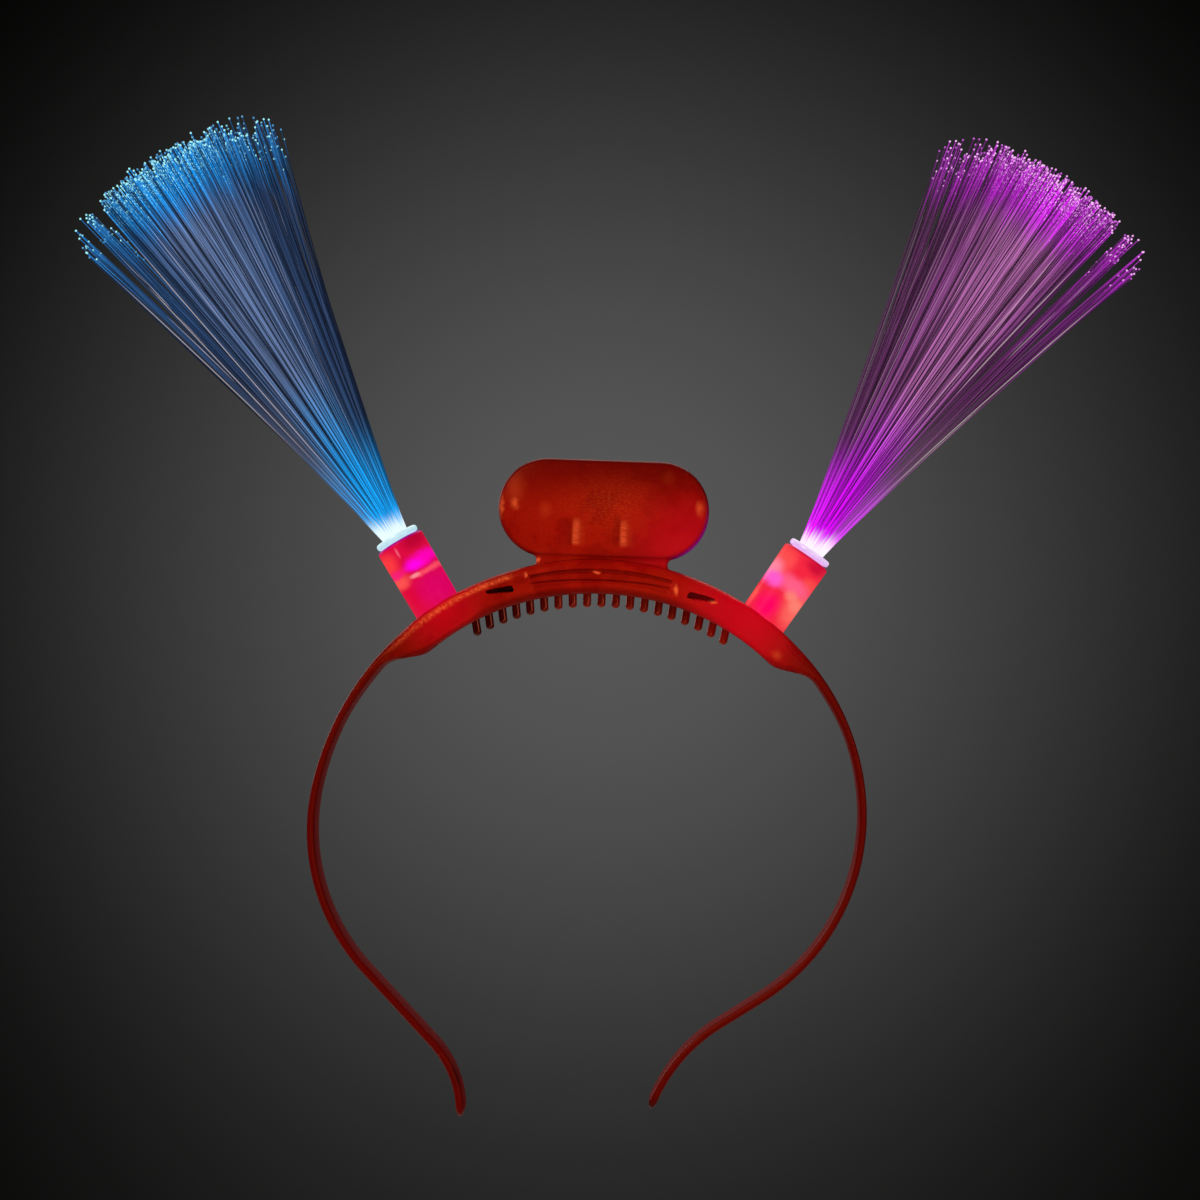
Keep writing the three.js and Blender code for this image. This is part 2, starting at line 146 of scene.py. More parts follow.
# Patches of light in the tubes: height above the foot, place across from the axis, reach along and
# across, strength, colour. The first patches lie under the later ones.
TUBE_PATCHES = {
    "left": (
        (*mm(4.0, 3.0, 7.5, 8.0), 0.9, (0.7, 0.0, 0.13)),
        (*mm(5.0, -5.0, 6.0, 3.6), 0.7, (0.76, 0.0, 0.04)),
        (*mm(17.2, 3.6, 3.4, 5.0), 0.8, (0.42, 0.0, 0.025)),
        (*mm(14.6, -5.6, 4.4, 4.6), 0.95, (1.0, 0.045, 0.05)),
        (*mm(9.2, -5.0, 2.8, 4.4), 0.95, (1.0, 0.09, 0.08)),
        (*mm(11.4, -4.2, 1.7, 4.0), 0.85, (0.95, 0.01, 0.2)),
        (*mm(8.8, 3.6, 1.2, 6.0), 0.9, (1.0, 0.08, 0.14)),
        (*mm(12.0, 3.4, 2.8, 6.6), 1.0, (1.0, 0.0, 0.5)),
        (*mm(11.5, 0.6, 1.9, 3.4), 0.85, (1.0, 0.0, 0.9)),
        (*mm(9.0, -0.4, 0.9, 2.0), 0.9, (1.0, 0.3, 0.35)),
        (*mm(16.0, -1.4, 2.2, 0.5), 0.5, (1.0, 0.2, 0.3)),
    ),
    "right": (
        (*mm(14.5, -4.6, 5.2, 5.0), 0.85, (1.0, 0.09, 0.08)),
        (*mm(13.0, 4.6, 2.6, 3.2), 0.8, (1.0, 0.08, 0.07)),
        (*mm(17.6, 3.6, 2.6, 4.6), 0.8, (0.55, 0.0, 0.03)),
        (*mm(5.6, 5.4, 7.0, 5.6), 0.95, (1.0, 0.15, 0.12)),
        (*mm(10.4, 1.4, 3.4, 7.4), 1.0, (1.0, 0.12, 0.25)),
        (*mm(11.4, -5.4, 4.2, 3.4), 0.9, (1.0, 0.26, 0.4)),
        (*mm(9.2, -3.8, 2.8, 3.6), 0.95, (1.0, 0.11, 0.66)),
        (*mm(7.9, 2.4, 2.2, 2.6), 0.8, (1.0, 0.25, 0.19)),
        (*mm(6.4, 4.6, 2.6, 2.4), 0.85, (1.0, 0.24, 0.18)),
        (*mm(3.0, -1.4, 5.2, 4.6), 1.0, (1.0, 0.0, 0.12)),
        (*mm(3.6, -6.0, 3.4, 1.8), 0.8, (1.0, 0.08, 0.06)),
    ),
}

# Depths of the panel's top and bottom below the crown's outer edge
PANEL_LEVELS = mm(2.75, 6.0)

# Where the crown's corners are tighter, under the tubes: from and to along its outer edge, and softness
TUBE_SEAT = mm(36, 52, 4)

# Limits of the marks of painted shade in the slots and in the panel: distance from the middle, depth behind
# the front, and depths below the outer edge; then those of the painted shade underneath: distance, depth
# below the edge and height
SLOT_ZONE, PANEL_ZONE = mm(33, 3.6, 2.3, 5.7), mm(19, 0.9, 2.3, 6.3)
UNDERSIDE = mm(56, 4.5, -24)

# Soft square lights that face the middle: place, size, power and tint
LIGHTS = {
    "key_light": ((-0.6, -0.85, 0.5), 0.5, 7.0, (1.0, 0.86, 0.72)),
    "fill_light": ((0.95, -0.75, 0.15), 0.6, 3.2, (1.0, 0.92, 0.86)),
    "back_light": ((-0.7, 0.55, 0.25), 0.5, 1.5, (1.0, 0.94, 0.9)),
    "rear_light": ((0.0, 0.65, 0.95), 1.0, 5.5, (1.0, 0.9, 0.8)),
    "low_light": ((0.12, -0.8, -0.14), 0.12, 0.6, (1.0, 0.9, 0.82)),
}


def length(name, description, millimetres):
    """A size property, given in millimetres and kept in metres."""
    return FloatProperty(
        name=name, description=description, default=millimetres * MM, unit="LENGTH", precision=5)


def angle(name, description, degrees):
    """An angle property, given in degrees and kept in radians."""
    return FloatProperty(name=name, description=description, default=math.radians(degrees), unit="ROTATION")


def share(name, description, value):
    """A property for a share or a plain factor."""
    return FloatProperty(name=name, description=description, default=value, subtype="FACTOR")


def colour(name, description, value):
    """A linear colour property."""
    return FloatVectorProperty(
        name=name, description=description, default=value, subtype="COLOR", size=3, min=0.0, soft_max=1.0)


class BandSizes(PropertyGroup):
    """Sizes of the moulded band and its crown."""

    crown_top: length("Crown top", "Height of the crown's outer edge at its middle", 12.1)
    tip_round: length("Tip round", "Length over which each arm's tip is rounded", 2.4)
    step: length("Step", "Distance between sections along the band", 1.5)
    tip_trim: share("Tip trim", "Share of its depth that each tip loses at the front and at the back", 0.25)
    seat_edge: length("Seat edge", "How much tighter the crown's corners are under the tubes", 1.3)
    slot_depth: length("Slot depth", "How far each slot goes into the crown's front", 3.2)
    panel_half: length("Panel half length", "Distance of the grooved panel's ends from the middle", 18.7)
    panel_depth: length("Panel depth", "Depth of the grooved panel below the crown's front", 0.3)
    groove_depth: length("Groove depth", "Depth of the grooves below the panel", 0.34)
    wall: length("Wall", "Thickness of the crown's wall", 1.6)
    half_hollow: length(
        "Half hollow", "Distance of the ends of the crown's back opening from its middle", 50.0)
    gap: length("Gap", "Clearance around pieces that are let in", 0.3)


class CombSizes(PropertyGroup):
    """Sizes of the comb and of the strip that carries it."""

    teeth: IntProperty(name="Teeth", description="Number of teeth in the comb", default=19, min=1)
    pitch: angle("Pitch", "Angle between teeth, seen from the middle of the tips' circle", 3.33)
    diameter: length("Tooth diameter", "Diameter of each tooth", 2.1)
    length: length("Tooth length", "Length of each tooth with its root in the strip", 6.2)
    lean: share("Lean share", "How much of the angle around the tips' circle each tooth leans by", 0.37)
    tip_radius: length("Tip radius", "Radius of the circle that the tips lie on", 62.0)
    strip_thick: length("Strip thickness", "Thickness of the strip that closes the crown", 2.0)


class PodSizes(PropertyGroup):
    """Sizes of the battery pod, its cover and its neck."""

    length: length("Length", "Length of the pod", 52.8)
    height: length("Height", "Height of the pod", 24.8)
    depth: length("Depth", "Depth of the pod from front to back", 10.0)
    middle: length("Middle", "Height of the pod's middle", 24.55)
    wall: length("Wall", "Thickness of the pod's wall", 1.6)
    rim: length("Rim", "Radius of the pod's rim", 1.3)
    crowning: length("Crowning", "How far the front falls back towards the rim", 0.5)
    neck_length: length("Neck length", "Length of the neck along the crown", 32.6)
    neck_depth: length("Neck depth", "Depth of the neck from front to back", 7.6)
    neck_corner: length("Neck corner", "Radius of the neck's upright corners", 1.2)
    neck_bottom: length("Neck bottom", "Height of the neck's foot inside the crown", 8.0)
    neck_top: length("Neck top", "Height of the neck's top inside the pod's wall", 13.4)
    neck_flare: length("Neck flare", "How far the neck spreads where it meets the crown", 1.2)
    neck_fillet: length("Neck fillet", "How far the neck's front swells where it meets the pod", 0.45)
    rib_width: length("Rib width", "Width over which each inner rib's gleam fades", 4.2)
    rib_bottom: length("Rib bottom", "Height of the inner ribs' lower ends", 14.8)
    rib_top: length("Rib top", "Height of the inner ribs' upper ends", 23.2)
    cover_thick: length("Cover thickness", "Thickness of the cover plate in the back", 1.5)


class StalkSizes(PropertyGroup):
    """Sizes of the lamp tubes and their collars."""

    foot_x: length("Foot distance", "Distance of each stalk's foot from the middle", 41.2)
    foot_z: length("Foot height", "Height of each stalk's foot", -1.05)
    lean: angle("Lean", "Angle by which each stalk leans outwards", 32.7)
    tube_diameter: length("Tube diameter", "Outside diameter of each tube", 12.0)
    tube_flare: length("Tube flare", "How much wider each tube's radius is at its mouth", 0.3)
    tube_wall: length("Tube wall", "Wall thickness of each tube", 1.2)
    tube_length: length("Tube length", "Length of each tube above its foot", 18.8)
    tube_sunk: length("Tube sunk", "How far each tube goes into the crown's surface", 1.5)
    collar_flange: length("Collar flange", "Diameter of each collar's flange", 11.4)
    collar_thick: length("Collar thickness", "Thickness of each collar's flange", 1.5)
    collar_sleeve: length("Collar sleeve", "Diameter of the sleeve that goes into the tube", 9.0)
    collar_sunk: length("Collar sunk", "Length of the sleeve that goes into the tube", 5.0)
    collar_bore: length("Collar bore", "Diameter of the bore that holds the fibers", 7.6)
    collar_gap: length("Collar gap", "Height of each collar's flange above the tube's mouth", 0.3)


class PlumeSizes(PropertyGroup):
    """Sizes of the plumes and their strands."""

    strands: IntProperty(name="Strands", description="Number of fibers in each plume", default=900, min=1)
    root_radius: length("Root radius", "Radius of the bundle in the collar", 2.9)
    root_sunk: length("Root sunk", "Depth of the strands' roots below the collar's face", 2.4)
    spread: share("Spread", "Sideways reach of the outermost strands, as a share of their length", 0.252)
    gather: share("Gathering", "Power that gathers the strands in the core; 0.5 spreads them evenly", 0.66)
    flare: share(
        "Flare", "Power by which the strands bend away from each other; 1 keeps them straight", 1.15)
    length: length("Length", "Length of the longest strands", 113.2)
    inner_short: share("Inner shortening", "How much shorter the strands of the inner side are", 0.018)
    ragged: share("Ragged", "Random shortening of the outer strands", 0.05)
    scatter: share("Scatter", "Random sideways shift of the strands, as a share of the plume", 0.05)
    bow: length("Bow", "Largest sideways bow of a strand", 0.9)
    radius: length("Strand radius", "Radius of each strand", 0.125)
    bead: length("Bead radius", "Radius of the melted bead at each strand's end", 0.28)
    part_from: share("Parting place", "Place of the first parting near the plume's outer edge", -0.62)
    part_step: share("Parting step", "Distance from the first parting to the second", 0.21)
    part_wide: share("Parting width", "Width that each parting clears of strands", 0.09)
    seed: IntProperty(name="Seed", description="Seed of the random shifts", default=7)


class PlasticColours(PropertyGroup):
    """Colours of the moulded red plastic."""

    red: colour("Red", "Main colour of the moulded plastic", (0.46, 0.004, 0.001))
    # Deep red is the plastic's darker cloudy tone and also the colour of painted shade
    deep: colour("Deep red", "Colour of the thick and shaded places", (0.12, 0.0004, 0.0))
    # Amber is the plastic's cloudy tone and the colour of its specks, and also the colour of painted
    # highlights
    amber: colour("Amber", "Colour of bright and cloudy places in the plastic", (0.85, 0.1, 0.02))
    # Crimson is painted lamp light
    crimson: colour("Crimson", "Colour of the plastic where the lamps shine into it", (0.66, 0.0, 0.013))
    # Spark is the light of painted highlights
    spark: colour("Spark", "Light of the brightest places in the plastic", (1.0, 0.17, 0.07))
    # Shadow is painted shade inside the slots
    shadow: colour("Shadow", "Colour inside the slots", (0.045, 0.0008, 0.0004))
    comb: colour("Comb red", "Colour of the comb's right half", (0.4, 0.013, 0.005))
    # Comb shade is the comb's darker cloudy tone and also painted shade at its ends
    comb_shade: colour("Comb shade", "Colour of the comb's left end", (0.06, 0.0004, 0.0006))


class GlowColours(PropertyGroup):
    """Colours of the lit pieces."""

    tube_left: colour("Left tube", "Light of the left tube's wall", (0.72, 0.003, 0.05))
    tube_right: colour("Right tube", "Light of the right tube's wall", (0.9, 0.02, 0.05))
    lamp: colour("Lamp", "Light of the lamps", (1.0, 0.1, 0.65))
    violet: colour(
        "Violet", "Light that catches the left tube's mouth and the pod's right rim", (0.16, 0.0, 0.4))
    mouth: colour("Mouth", "Shade of the right tube's mouth", (0.4, 0.0, 0.04))
    collar_left: colour("Left collar", "Light of the left collar", (0.45, 0.74, 0.84))
    collar_right: colour("Right collar", "Light of the right collar", (0.72, 0.42, 0.88))
    root_left: colour("Left root", "Light at the roots of the left strands", (0.8, 0.96, 1.0))
    throat_left: colour("Left throat", "Light of the left strands above their roots", (0.003, 0.32, 0.82))
    middle_left: colour("Left middle", "Light halfway along the left strands", (0.071, 0.114, 0.228))
    shell_left: colour("Left shell", "Light of the outer left strands", (0.008, 0.017, 0.046))
    tip_left: colour("Left tip", "Light near the ends of the left strands", (0.002, 0.18, 0.54))
    bead_left: colour("Left bead", "Light of the left strands' ends", (0.38, 0.94, 0.98))
    # Light of painted glints along a few of the left plume's strands, and of a faint haze
    streak_left: colour("Left streak", "Light of the left plume's pale strands", (0.42, 0.37, 0.4))
    root_right: colour("Right root", "Light at the roots of the right strands", (1.0, 0.86, 1.0))
    throat_right: colour("Right throat", "Light of the right strands above their roots", (0.66, 0.0, 0.9))
    middle_right: colour("Right middle", "Light halfway along the right strands", (0.268, 0.081, 0.238))
    shell_right: colour("Right shell", "Light of the outer right strands", (0.04, 0.007, 0.036))
    tip_right: colour("Right tip", "Light near the ends of the right strands", (0.4, 0.006, 0.5))
    bead_right: colour("Right bead", "Light of the right strands' ends", (1.0, 0.5, 1.0))
    # Light of painted glints along a few of the right plume's strands, and of a faint haze
    streak_right: colour("Right streak", "Light of the right plume's pale strands", (0.42, 0.4, 0.34))


# Nodes

class Value:
    """Output of a node; sums with it add Math nodes to its tree."""

    def __init__(self, graph, socket):
        self.graph = graph
        self.socket = socket

    def __add__(self, other):
        return self.graph.math("ADD", self, other)

    def __sub__(self, other):
        return self.graph.math("SUBTRACT", self, other)

    def __rsub__(self, other):
        return self.graph.math("SUBTRACT", other, self)

    def __mul__(self, other):
        return self.graph.math("MULTIPLY", self, other)

    def __truediv__(self, other):
        return self.graph.math("DIVIDE", self, other)

    def __pow__(self, other):
        return self.graph.math("POWER", self, other)

    def __abs__(self):
        return self.graph.math("ABSOLUTE", self)


class Graph:
    """Adds nodes to a node tree and wires them."""

    def __init__(self, tree):
        self.tree = tree
        self.result = None

    def sockets(self, inputs, outputs):
        """Make the tree's own sockets, each from its default or its kind, and give its inputs by name."""
        make = self.tree.interface.new_socket
        for name, default in inputs.items():
            kind = default if isinstance(default, str) else "Int" if isinstance(default, int) else "Float"
            socket = make(name=name, in_out="INPUT", socket_type=f"NodeSocket{kind}")
            if kind != default:
                socket.default_value = default
        for name, kind in outputs.items():
            make(name=name, in_out="OUTPUT", socket_type=f"NodeSocket{kind}")
        self.result = self.tree.nodes.new("NodeGroupOutput").inputs
        return self.values(self.tree.nodes.new("NodeGroupInput"))

    def values(self, node):
        """A node's named outputs."""
        return {socket.name: Value(self, socket) for socket in node.outputs if socket.name}

    def put(self, value, socket):
        """Link an output to a socket, or set the socket's value."""
        if isinstance(value, Value):
            self.tree.links.new(value.socket, socket)
        else:
            socket.default_value = value

    def feed(self, sockets, values):
        """Fill sockets by name or place."""
        for key, value in values.items():
            self.put(value, sockets[key])

    def add(self, kind, inputs=None, output=0, **settings):
        """An output of a new node, with the node's settings and with its inputs by name or place."""
        node = self.tree.nodes.new(kind)
        for name, value in settings.items():
            setattr(node, name, value)
        self.feed(node.inputs, inputs or {})
        return Value(self, node.outputs[output])

    def math(self, operation, first, second=0.0, third=0.0):
        """Output of a Math node."""
        return self.add("ShaderNodeMath", {0: first, 1: second, 2: third}, operation=operation)

    def most(self, first, second):
        """The larger of two values."""
        return self.math("MAXIMUM", first, second)

    def hypot(self, first, second):
        """Length of the slanting side over two sides of a right angle."""
        return self.math("SQRT", first * first + second * second)

    def vector(self, operation, first, second=(0.0, 0.0, 0.0), scale=1.0):
        """Output of a Vector Math node."""
        output = "Value" if operation in {"DOT_PRODUCT", "LENGTH"} else "Vector"
        return self.add("ShaderNodeVectorMath", {0: first, 1: second, 3: scale}, output, operation=operation)

    def split(self, place):
        """The three parts of a place."""
        node = self.tree.nodes.new("ShaderNodeSeparateXYZ")
        self.put(place, node.inputs[0])
        return self.values(node).values()

    def place(self, x=0.0, y=0.0, z=0.0):
        """A place from its three parts."""
        return self.add("ShaderNodeCombineXYZ", {0: x, 1: y, 2: z})

    def ease(self, value, low, high, to_low=0.0, to_high=1.0):
        """Smooth step of a value from one range to another."""
        inputs = {"Value": value, "From Min": low, "From Max": high, "To Min": to_low, "To Max": to_high}
        return self.add("ShaderNodeMapRange", inputs, interpolation_type="SMOOTHSTEP")

    def span(self, value, low, high):
        """A value from 0 to 1, stretched between two others."""
        return self.add("ShaderNodeMapRange", {"Value": value, "To Min": low, "To Max": high})

    def mix(self, factor, first, second, blend="MIX"):
        """Output of a colour Mix node."""
        inputs = {0: factor, 6: rgba(first), 7: rgba(second)}
        return self.add("ShaderNodeMix", inputs, 2, data_type="RGBA", blend_type=blend)

    def noise(self, place, scale, detail=2.0, roughness=0.5):
        """Value of a Noise texture."""
        inputs = {"Vector": place, "Scale": scale, "Detail": detail, "Roughness": roughness}
        return self.add("ShaderNodeTexNoise", inputs)

    def bump(self, height, strength, distance):
        """Normals that a height tilts."""
        return self.add("ShaderNodeBump", {"Height": height, "Strength": strength, "Distance": distance})

    def attribute(self, name):
        """Value of one of the piece's own attributes."""
        return self.add("ShaderNodeAttribute", output="Fac", attribute_name=name)

    def group(self, build, inputs):
        """Outputs of a shader group, which its function builds once."""
        tree = bpy.data.node_groups.get(build.__name__)
        if tree is None:
            tree = bpy.data.node_groups.new(build.__name__, "ShaderNodeTree")
            build(Graph(tree))
        node = self.tree.nodes.new("ShaderNodeGroup")
        node.node_tree = tree
        self.feed(node.inputs, inputs)
        return self.values(node)

    def shade(self, inputs):
        """Feed a material's shader."""
        self.feed(self.tree.nodes["Principled BSDF"].inputs, inputs)

    def tube(self, curve, radius, sides, swell=1.0):
        """Closed tubes around curves."""
        circle = self.add("GeometryNodeCurvePrimitiveCircle", {"Resolution": sides, "Radius": radius})
        return self.add("GeometryNodeCurveToMesh", {
            "Curve": curve, "Profile Curve": circle, "Scale": swell, "Fill Caps": True})

    def line(self, end, points):
        """A straight curve from the origin, with its number of points."""
        curve = self.add("GeometryNodeCurvePrimitiveLine", {"End": end})
        return self.add("GeometryNodeResampleCurve", {"Curve": curve, "Count": points})

    def joined(self, *geometries):
        """Geometries joined into one."""
        node = self.tree.nodes.new("GeometryNodeJoinGeometry")
        for geometry in geometries:
            self.put(geometry, node.inputs[0])
        return Value(self, node.outputs[0])

    def realized(self, geometry):
        """A geometry with its instances made real."""
        return self.add("GeometryNodeRealizeInstances", {"Geometry": geometry})

    def dressed(self, geometry, material):
        """A geometry made real, with its material."""
        inputs = {"Geometry": self.realized(geometry), "Material": material}
        return self.add("GeometryNodeSetMaterial", inputs)


def rgba(tone):
    """A colour with full alpha; an output stays as it is."""
    return tone if isinstance(tone, Value) else (*tone, 1.0)


def moulded_grain(graph):
    """Shader group for moulded plastic: cloudy tone, fine grain and specks from a place."""
    place, cloud_scale = graph.sockets(
        {"Place": "Vector", "Cloud Scale": 110.0},
        {"Cloud": "Float", "Grain": "Float", "Specks": "Float"}).values()
    cloud = graph.noise(place, cloud_scale, 4.0, 0.62)
    dots = graph.add("ShaderNodeTexVoronoi", {"Vector": place, "Scale": 750.0}, "Distance")
    rare = graph.noise(place, 260.0, 1.0)
    graph.feed(graph.result, {
        "Cloud": graph.ease(cloud, 0.36, 0.66), "Grain": graph.noise(place, 1600.0, 3.0, 0.6),
        "Specks": graph.ease(dots, 0.16, 0.06) * graph.ease(rare, 0.6, 0.7)})


def place_on_stalk(graph):
    """Shader group that turns a place into its height along a stalk and its place across it."""
    place, foot, upwards, sideways = graph.sockets(
        dict.fromkeys(("Place", "Foot", "Upwards", "Sideways"), "Vector"),
        {"Along": "Float", "Across": "Float"}).values()
    from_foot = graph.vector("SUBTRACT", place, foot)
    graph.feed(graph.result, {
        "Along": graph.vector("DOT_PRODUCT", from_foot, upwards),
        "Across": graph.vector("DOT_PRODUCT", from_foot, sideways)})


def soft_patch(graph):
    """Shader group for a soft-edged oval patch."""
    along, across, middle_along, middle_across, reach_along, reach_across, strength, plateau = graph.sockets(
        dict.fromkeys(PATCH_INPUTS, 0.0), {"Mask": "Float"}).values()
    out = graph.hypot((along - middle_along) / reach_along, (across - middle_across) / reach_across)
    graph.feed(graph.result, {"Mask": graph.ease(out, 1.0, plateau) * strength})


def strand_light(graph):
    """Shader group for the light of a strand, from its root to its bead."""
    whole, outwards, across, strand, glitter, root, throat, middle, dim, tip, bead, streak = graph.sockets(
        dict.fromkeys(STRAND_VALUES, 0.0) | dict.fromkeys(STRAND_TONES, "Color"),
        {"Light": "Color"}).values()
    reach = (strand - 0.5) * 0.03 + whole
    outer = graph.ease(across, -0.22, -0.78)
    side = graph.most(graph.ease(across, 0.14, 0.72), outer)
    veil = graph.ease(outwards, 0.7, 0.92) * graph.ease(strand, 0.6, 0.45)
    shade = graph.most(side * 0.92, veil)
    lower = graph.mix(graph.ease(reach * (1.0 - outer * 0.25), 0.03, 0.074), root, throat)
    core = graph.mix(graph.ease(reach, 0.08, 0.26, 0.0, 0.36), lower, dim)
    core = graph.mix(graph.ease(reach, 0.18, 0.48), core, middle)
    core = graph.mix(side * graph.ease(reach, 0.3, 0.5, 0.0, 0.24), core, tip)
    core = graph.mix(graph.ease(reach, 0.84, 0.94), core, tip)
    shell = graph.mix(graph.ease(reach, 0.05, 0.12, 0.0, 0.45), lower, dim)
    shell = graph.mix(graph.ease(reach, 0.1, 0.32), shell, dim)
    outer_tip = outer * graph.ease(reach, 0.5, 1.0, 0.0, 0.16)
    shell = graph.mix(graph.most(graph.ease(reach, 0.86, 1.0, 0.0, 0.4), outer_tip), shell, tip)
    light = graph.mix(shade, core, shell)
    contrast = (shade * 0.2 + 1.75) * graph.ease(reach, 0.03, 0.12)
    vary = (strand * strand - 0.333) * contrast + 1.0
    vary = graph.add("ShaderNodeCombineColor", dict.fromkeys(range(3), vary))
    light = graph.mix(1.0, light, vary, "MULTIPLY")
    hazy = graph.ease(reach, 0.04, 0.1) * graph.ease(reach, 0.55, 0.25) * outer
    light = graph.mix(hazy * 0.1, light, streak)
    # Painted highlights: glints along a few strands on the plume's outer side
    glinting = graph.ease(strand, 0.94, 0.95) * graph.ease(across, -0.3, -0.45, 0.25, 1.0)
    glinting = glinting * graph.ease(reach, 0.12, 0.4) * graph.ease(reach, 0.94, 0.8)
    light = graph.mix(glinting * 0.8, light, streak)
    light = graph.mix(glitter * graph.ease(reach, 0.9, 1.0) * (1.0 - shade), light, bead)
    end = graph.mix(graph.ease(strand, 0.25, 0.65, 0.15, 1.0), tip, bead)
    graph.feed(graph.result, {"Light": graph.mix(graph.ease(whole, 1.0, 1.01), light, end)})


# Materials

def new_material(name):
    """A material with its graph and the piece's own coordinates."""
    material = bpy.data.materials.new(name)
    material.use_nodes = True
    graph = Graph(material.node_tree)
    return material, graph, graph.add("ShaderNodeTexCoord", output="Object")


def on_stalk(graph, place, side):
    """Height of a place along a stalk, and its place across it."""
    stalk = stalk_matrix(side)
    return graph.group(place_on_stalk, {
        "Place": place, "Foot": stalk.translation, "Upwards": stalk.col[2].xyz,
        "Sideways": stalk.col[0].xyz}).values()


def patch(graph, along, across, row, plateau=0.0):
    """Mask of a soft oval, from its middle and its reach, each along and across, and its strength."""
    return graph.group(soft_patch, dict(zip(PATCH_INPUTS, (along, across, *row, plateau))))["Mask"]


def lamp_mask(graph, place, side, reach, strength, inwards=4.0 * MM):
    """How much of a lamp's light is painted into the plastic around its stalk's foot or inwards of it."""
    row = (1.0 * MM, -SIDES[side][0] * inwards, reach, reach, strength)
    return patch(graph, *on_stalk(graph, place, side), row)


def moulded_red():
    """Translucent red plastic of the band and the pod, with lamp light painted in near the lamps, and
    painted highlights and shade.
    """
    if "moulded_red" in bpy.data.materials:
        return bpy.data.materials["moulded_red"]
    scene = bpy.context.scene
    tones, pod = scene.headband_plastic, scene.headband_pod
    material, graph, place = new_material("moulded_red")
    cloud, grain, specks = graph.group(moulded_grain, {"Place": place}).values()
    x, _, z = graph.split(place)
    edge, under = graph.attribute("edge"), graph.attribute("under")
    body = graph.mix(cloud * 0.06, tones.red, tones.amber)
    body = graph.mix(graph.ease(cloud, 0.6, 0.0, 0.0, 0.28), body, tones.deep)
    body = graph.mix(graph.ease(grain, 0.62, 0.3, 0.0, 0.22), body, tones.deep)
    # Darker towards and along the arms
    on_arms = graph.most(graph.ease(abs(x), 38 * MM, 60 * MM), graph.ease(z, -14 * MM, -28 * MM))
    body = graph.mix(on_arms * 0.97, body, tones.deep)
    # Painted shade: the pod is darker towards its top
    top = graph.ease(z, pod.middle - 2 * MM, pod.middle + pod.height / 2)
    body = graph.mix(top * 0.8, body, tones.deep)
    # Painted shade: darker over the left side
    body = graph.mix(graph.ease(x, -6 * MM, -24 * MM, 0.0, 0.2), body, tones.deep)
    # Painted lamp light: crimson over the pod's lower right, near the right lamp
    right_lamp_glow = graph.ease(x, 0.0, 24 * MM) * graph.ease(z, 34 * MM, 14 * MM)
    body = graph.mix(right_lamp_glow * graph.ease(z, 9 * MM, 12 * MM, 0.0, 0.95), body, tones.crimson)
    # Painted shade where the grooved panel lies back
    body = graph.mix(graph.attribute("dip") * 0.55, body, tones.deep)
    gleam, shadow = front_gleam(graph, place, grain)
    # Painted shadows beside the ribs
    body = graph.mix(shadow, body, tones.deep)
    # Painted lamp light: crimson in the plastic around the lamps' stalks
    left_lamp = lamp_mask(graph, place, "left", 17 * MM, 0.8, 0.5 * MM)
    right_lamp = lamp_mask(graph, place, "right", 26 * MM, 0.9)
    lamps = graph.most(left_lamp, right_lamp) * (1.0 - on_arms)
    body = graph.mix(lamps, body, tones.crimson)
    # Painted highlights, in amber
    body = graph.mix(gleam, body, tones.amber)
    # Painted shade along the pod's outline, on faces turned from the front and under the crown
    rim = pod_rim(graph, x, z)
    away = graph.most(rim, edge)
    shaded = graph.most(away, under * (0.7 - lamps * 0.9))
    body = graph.mix(shaded * 0.75, body, tones.deep)
    # Painted shade inside the slots
    body = graph.mix(graph.attribute("recess"), body, tones.shadow)
    body = graph.mix(specks * 0.3, body, tones.amber)
    # Painted glow of the lamps' light in the plastic
    glow = graph.mix(lamps * (1.0 - away * 0.7) * 0.34, BLACK, tones.crimson)
    # Painted glow along the arms' side faces
    glow = graph.mix(on_arms * edge * 0.1, glow, tones.red)
    # Painted violet light caught on the pod's right rim
    caught = rim ** 3.0 * graph.ease(x, 15 * MM, 23 * MM) * graph.ease(z, 28 * MM, 18 * MM)
    glow = graph.mix(caught * 0.5, glow, scene.headband_glow.violet)
    # Painted highlights glow as well
    glow = graph.mix(gleam * gleam * 0.4, glow, tones.spark)
    graph.shade({
        "Base Color": body, "Emission Color": glow, "Emission Strength": 0.6,
        "Roughness": graph.span(grain, 0.28, 0.48) + under * 0.45,
        "Normal": graph.bump(grain * 0.5 + cloud, 0.3, 0.08 * MM),
        "Specular IOR Level": 0.3, "Specular Tint": rgba((1.0, 0.14, 0.06)),
        "Subsurface Weight": 0.3, "Subsurface Radius": RED_SCATTER, "Subsurface Scale": 2.0 * MM})
    return material


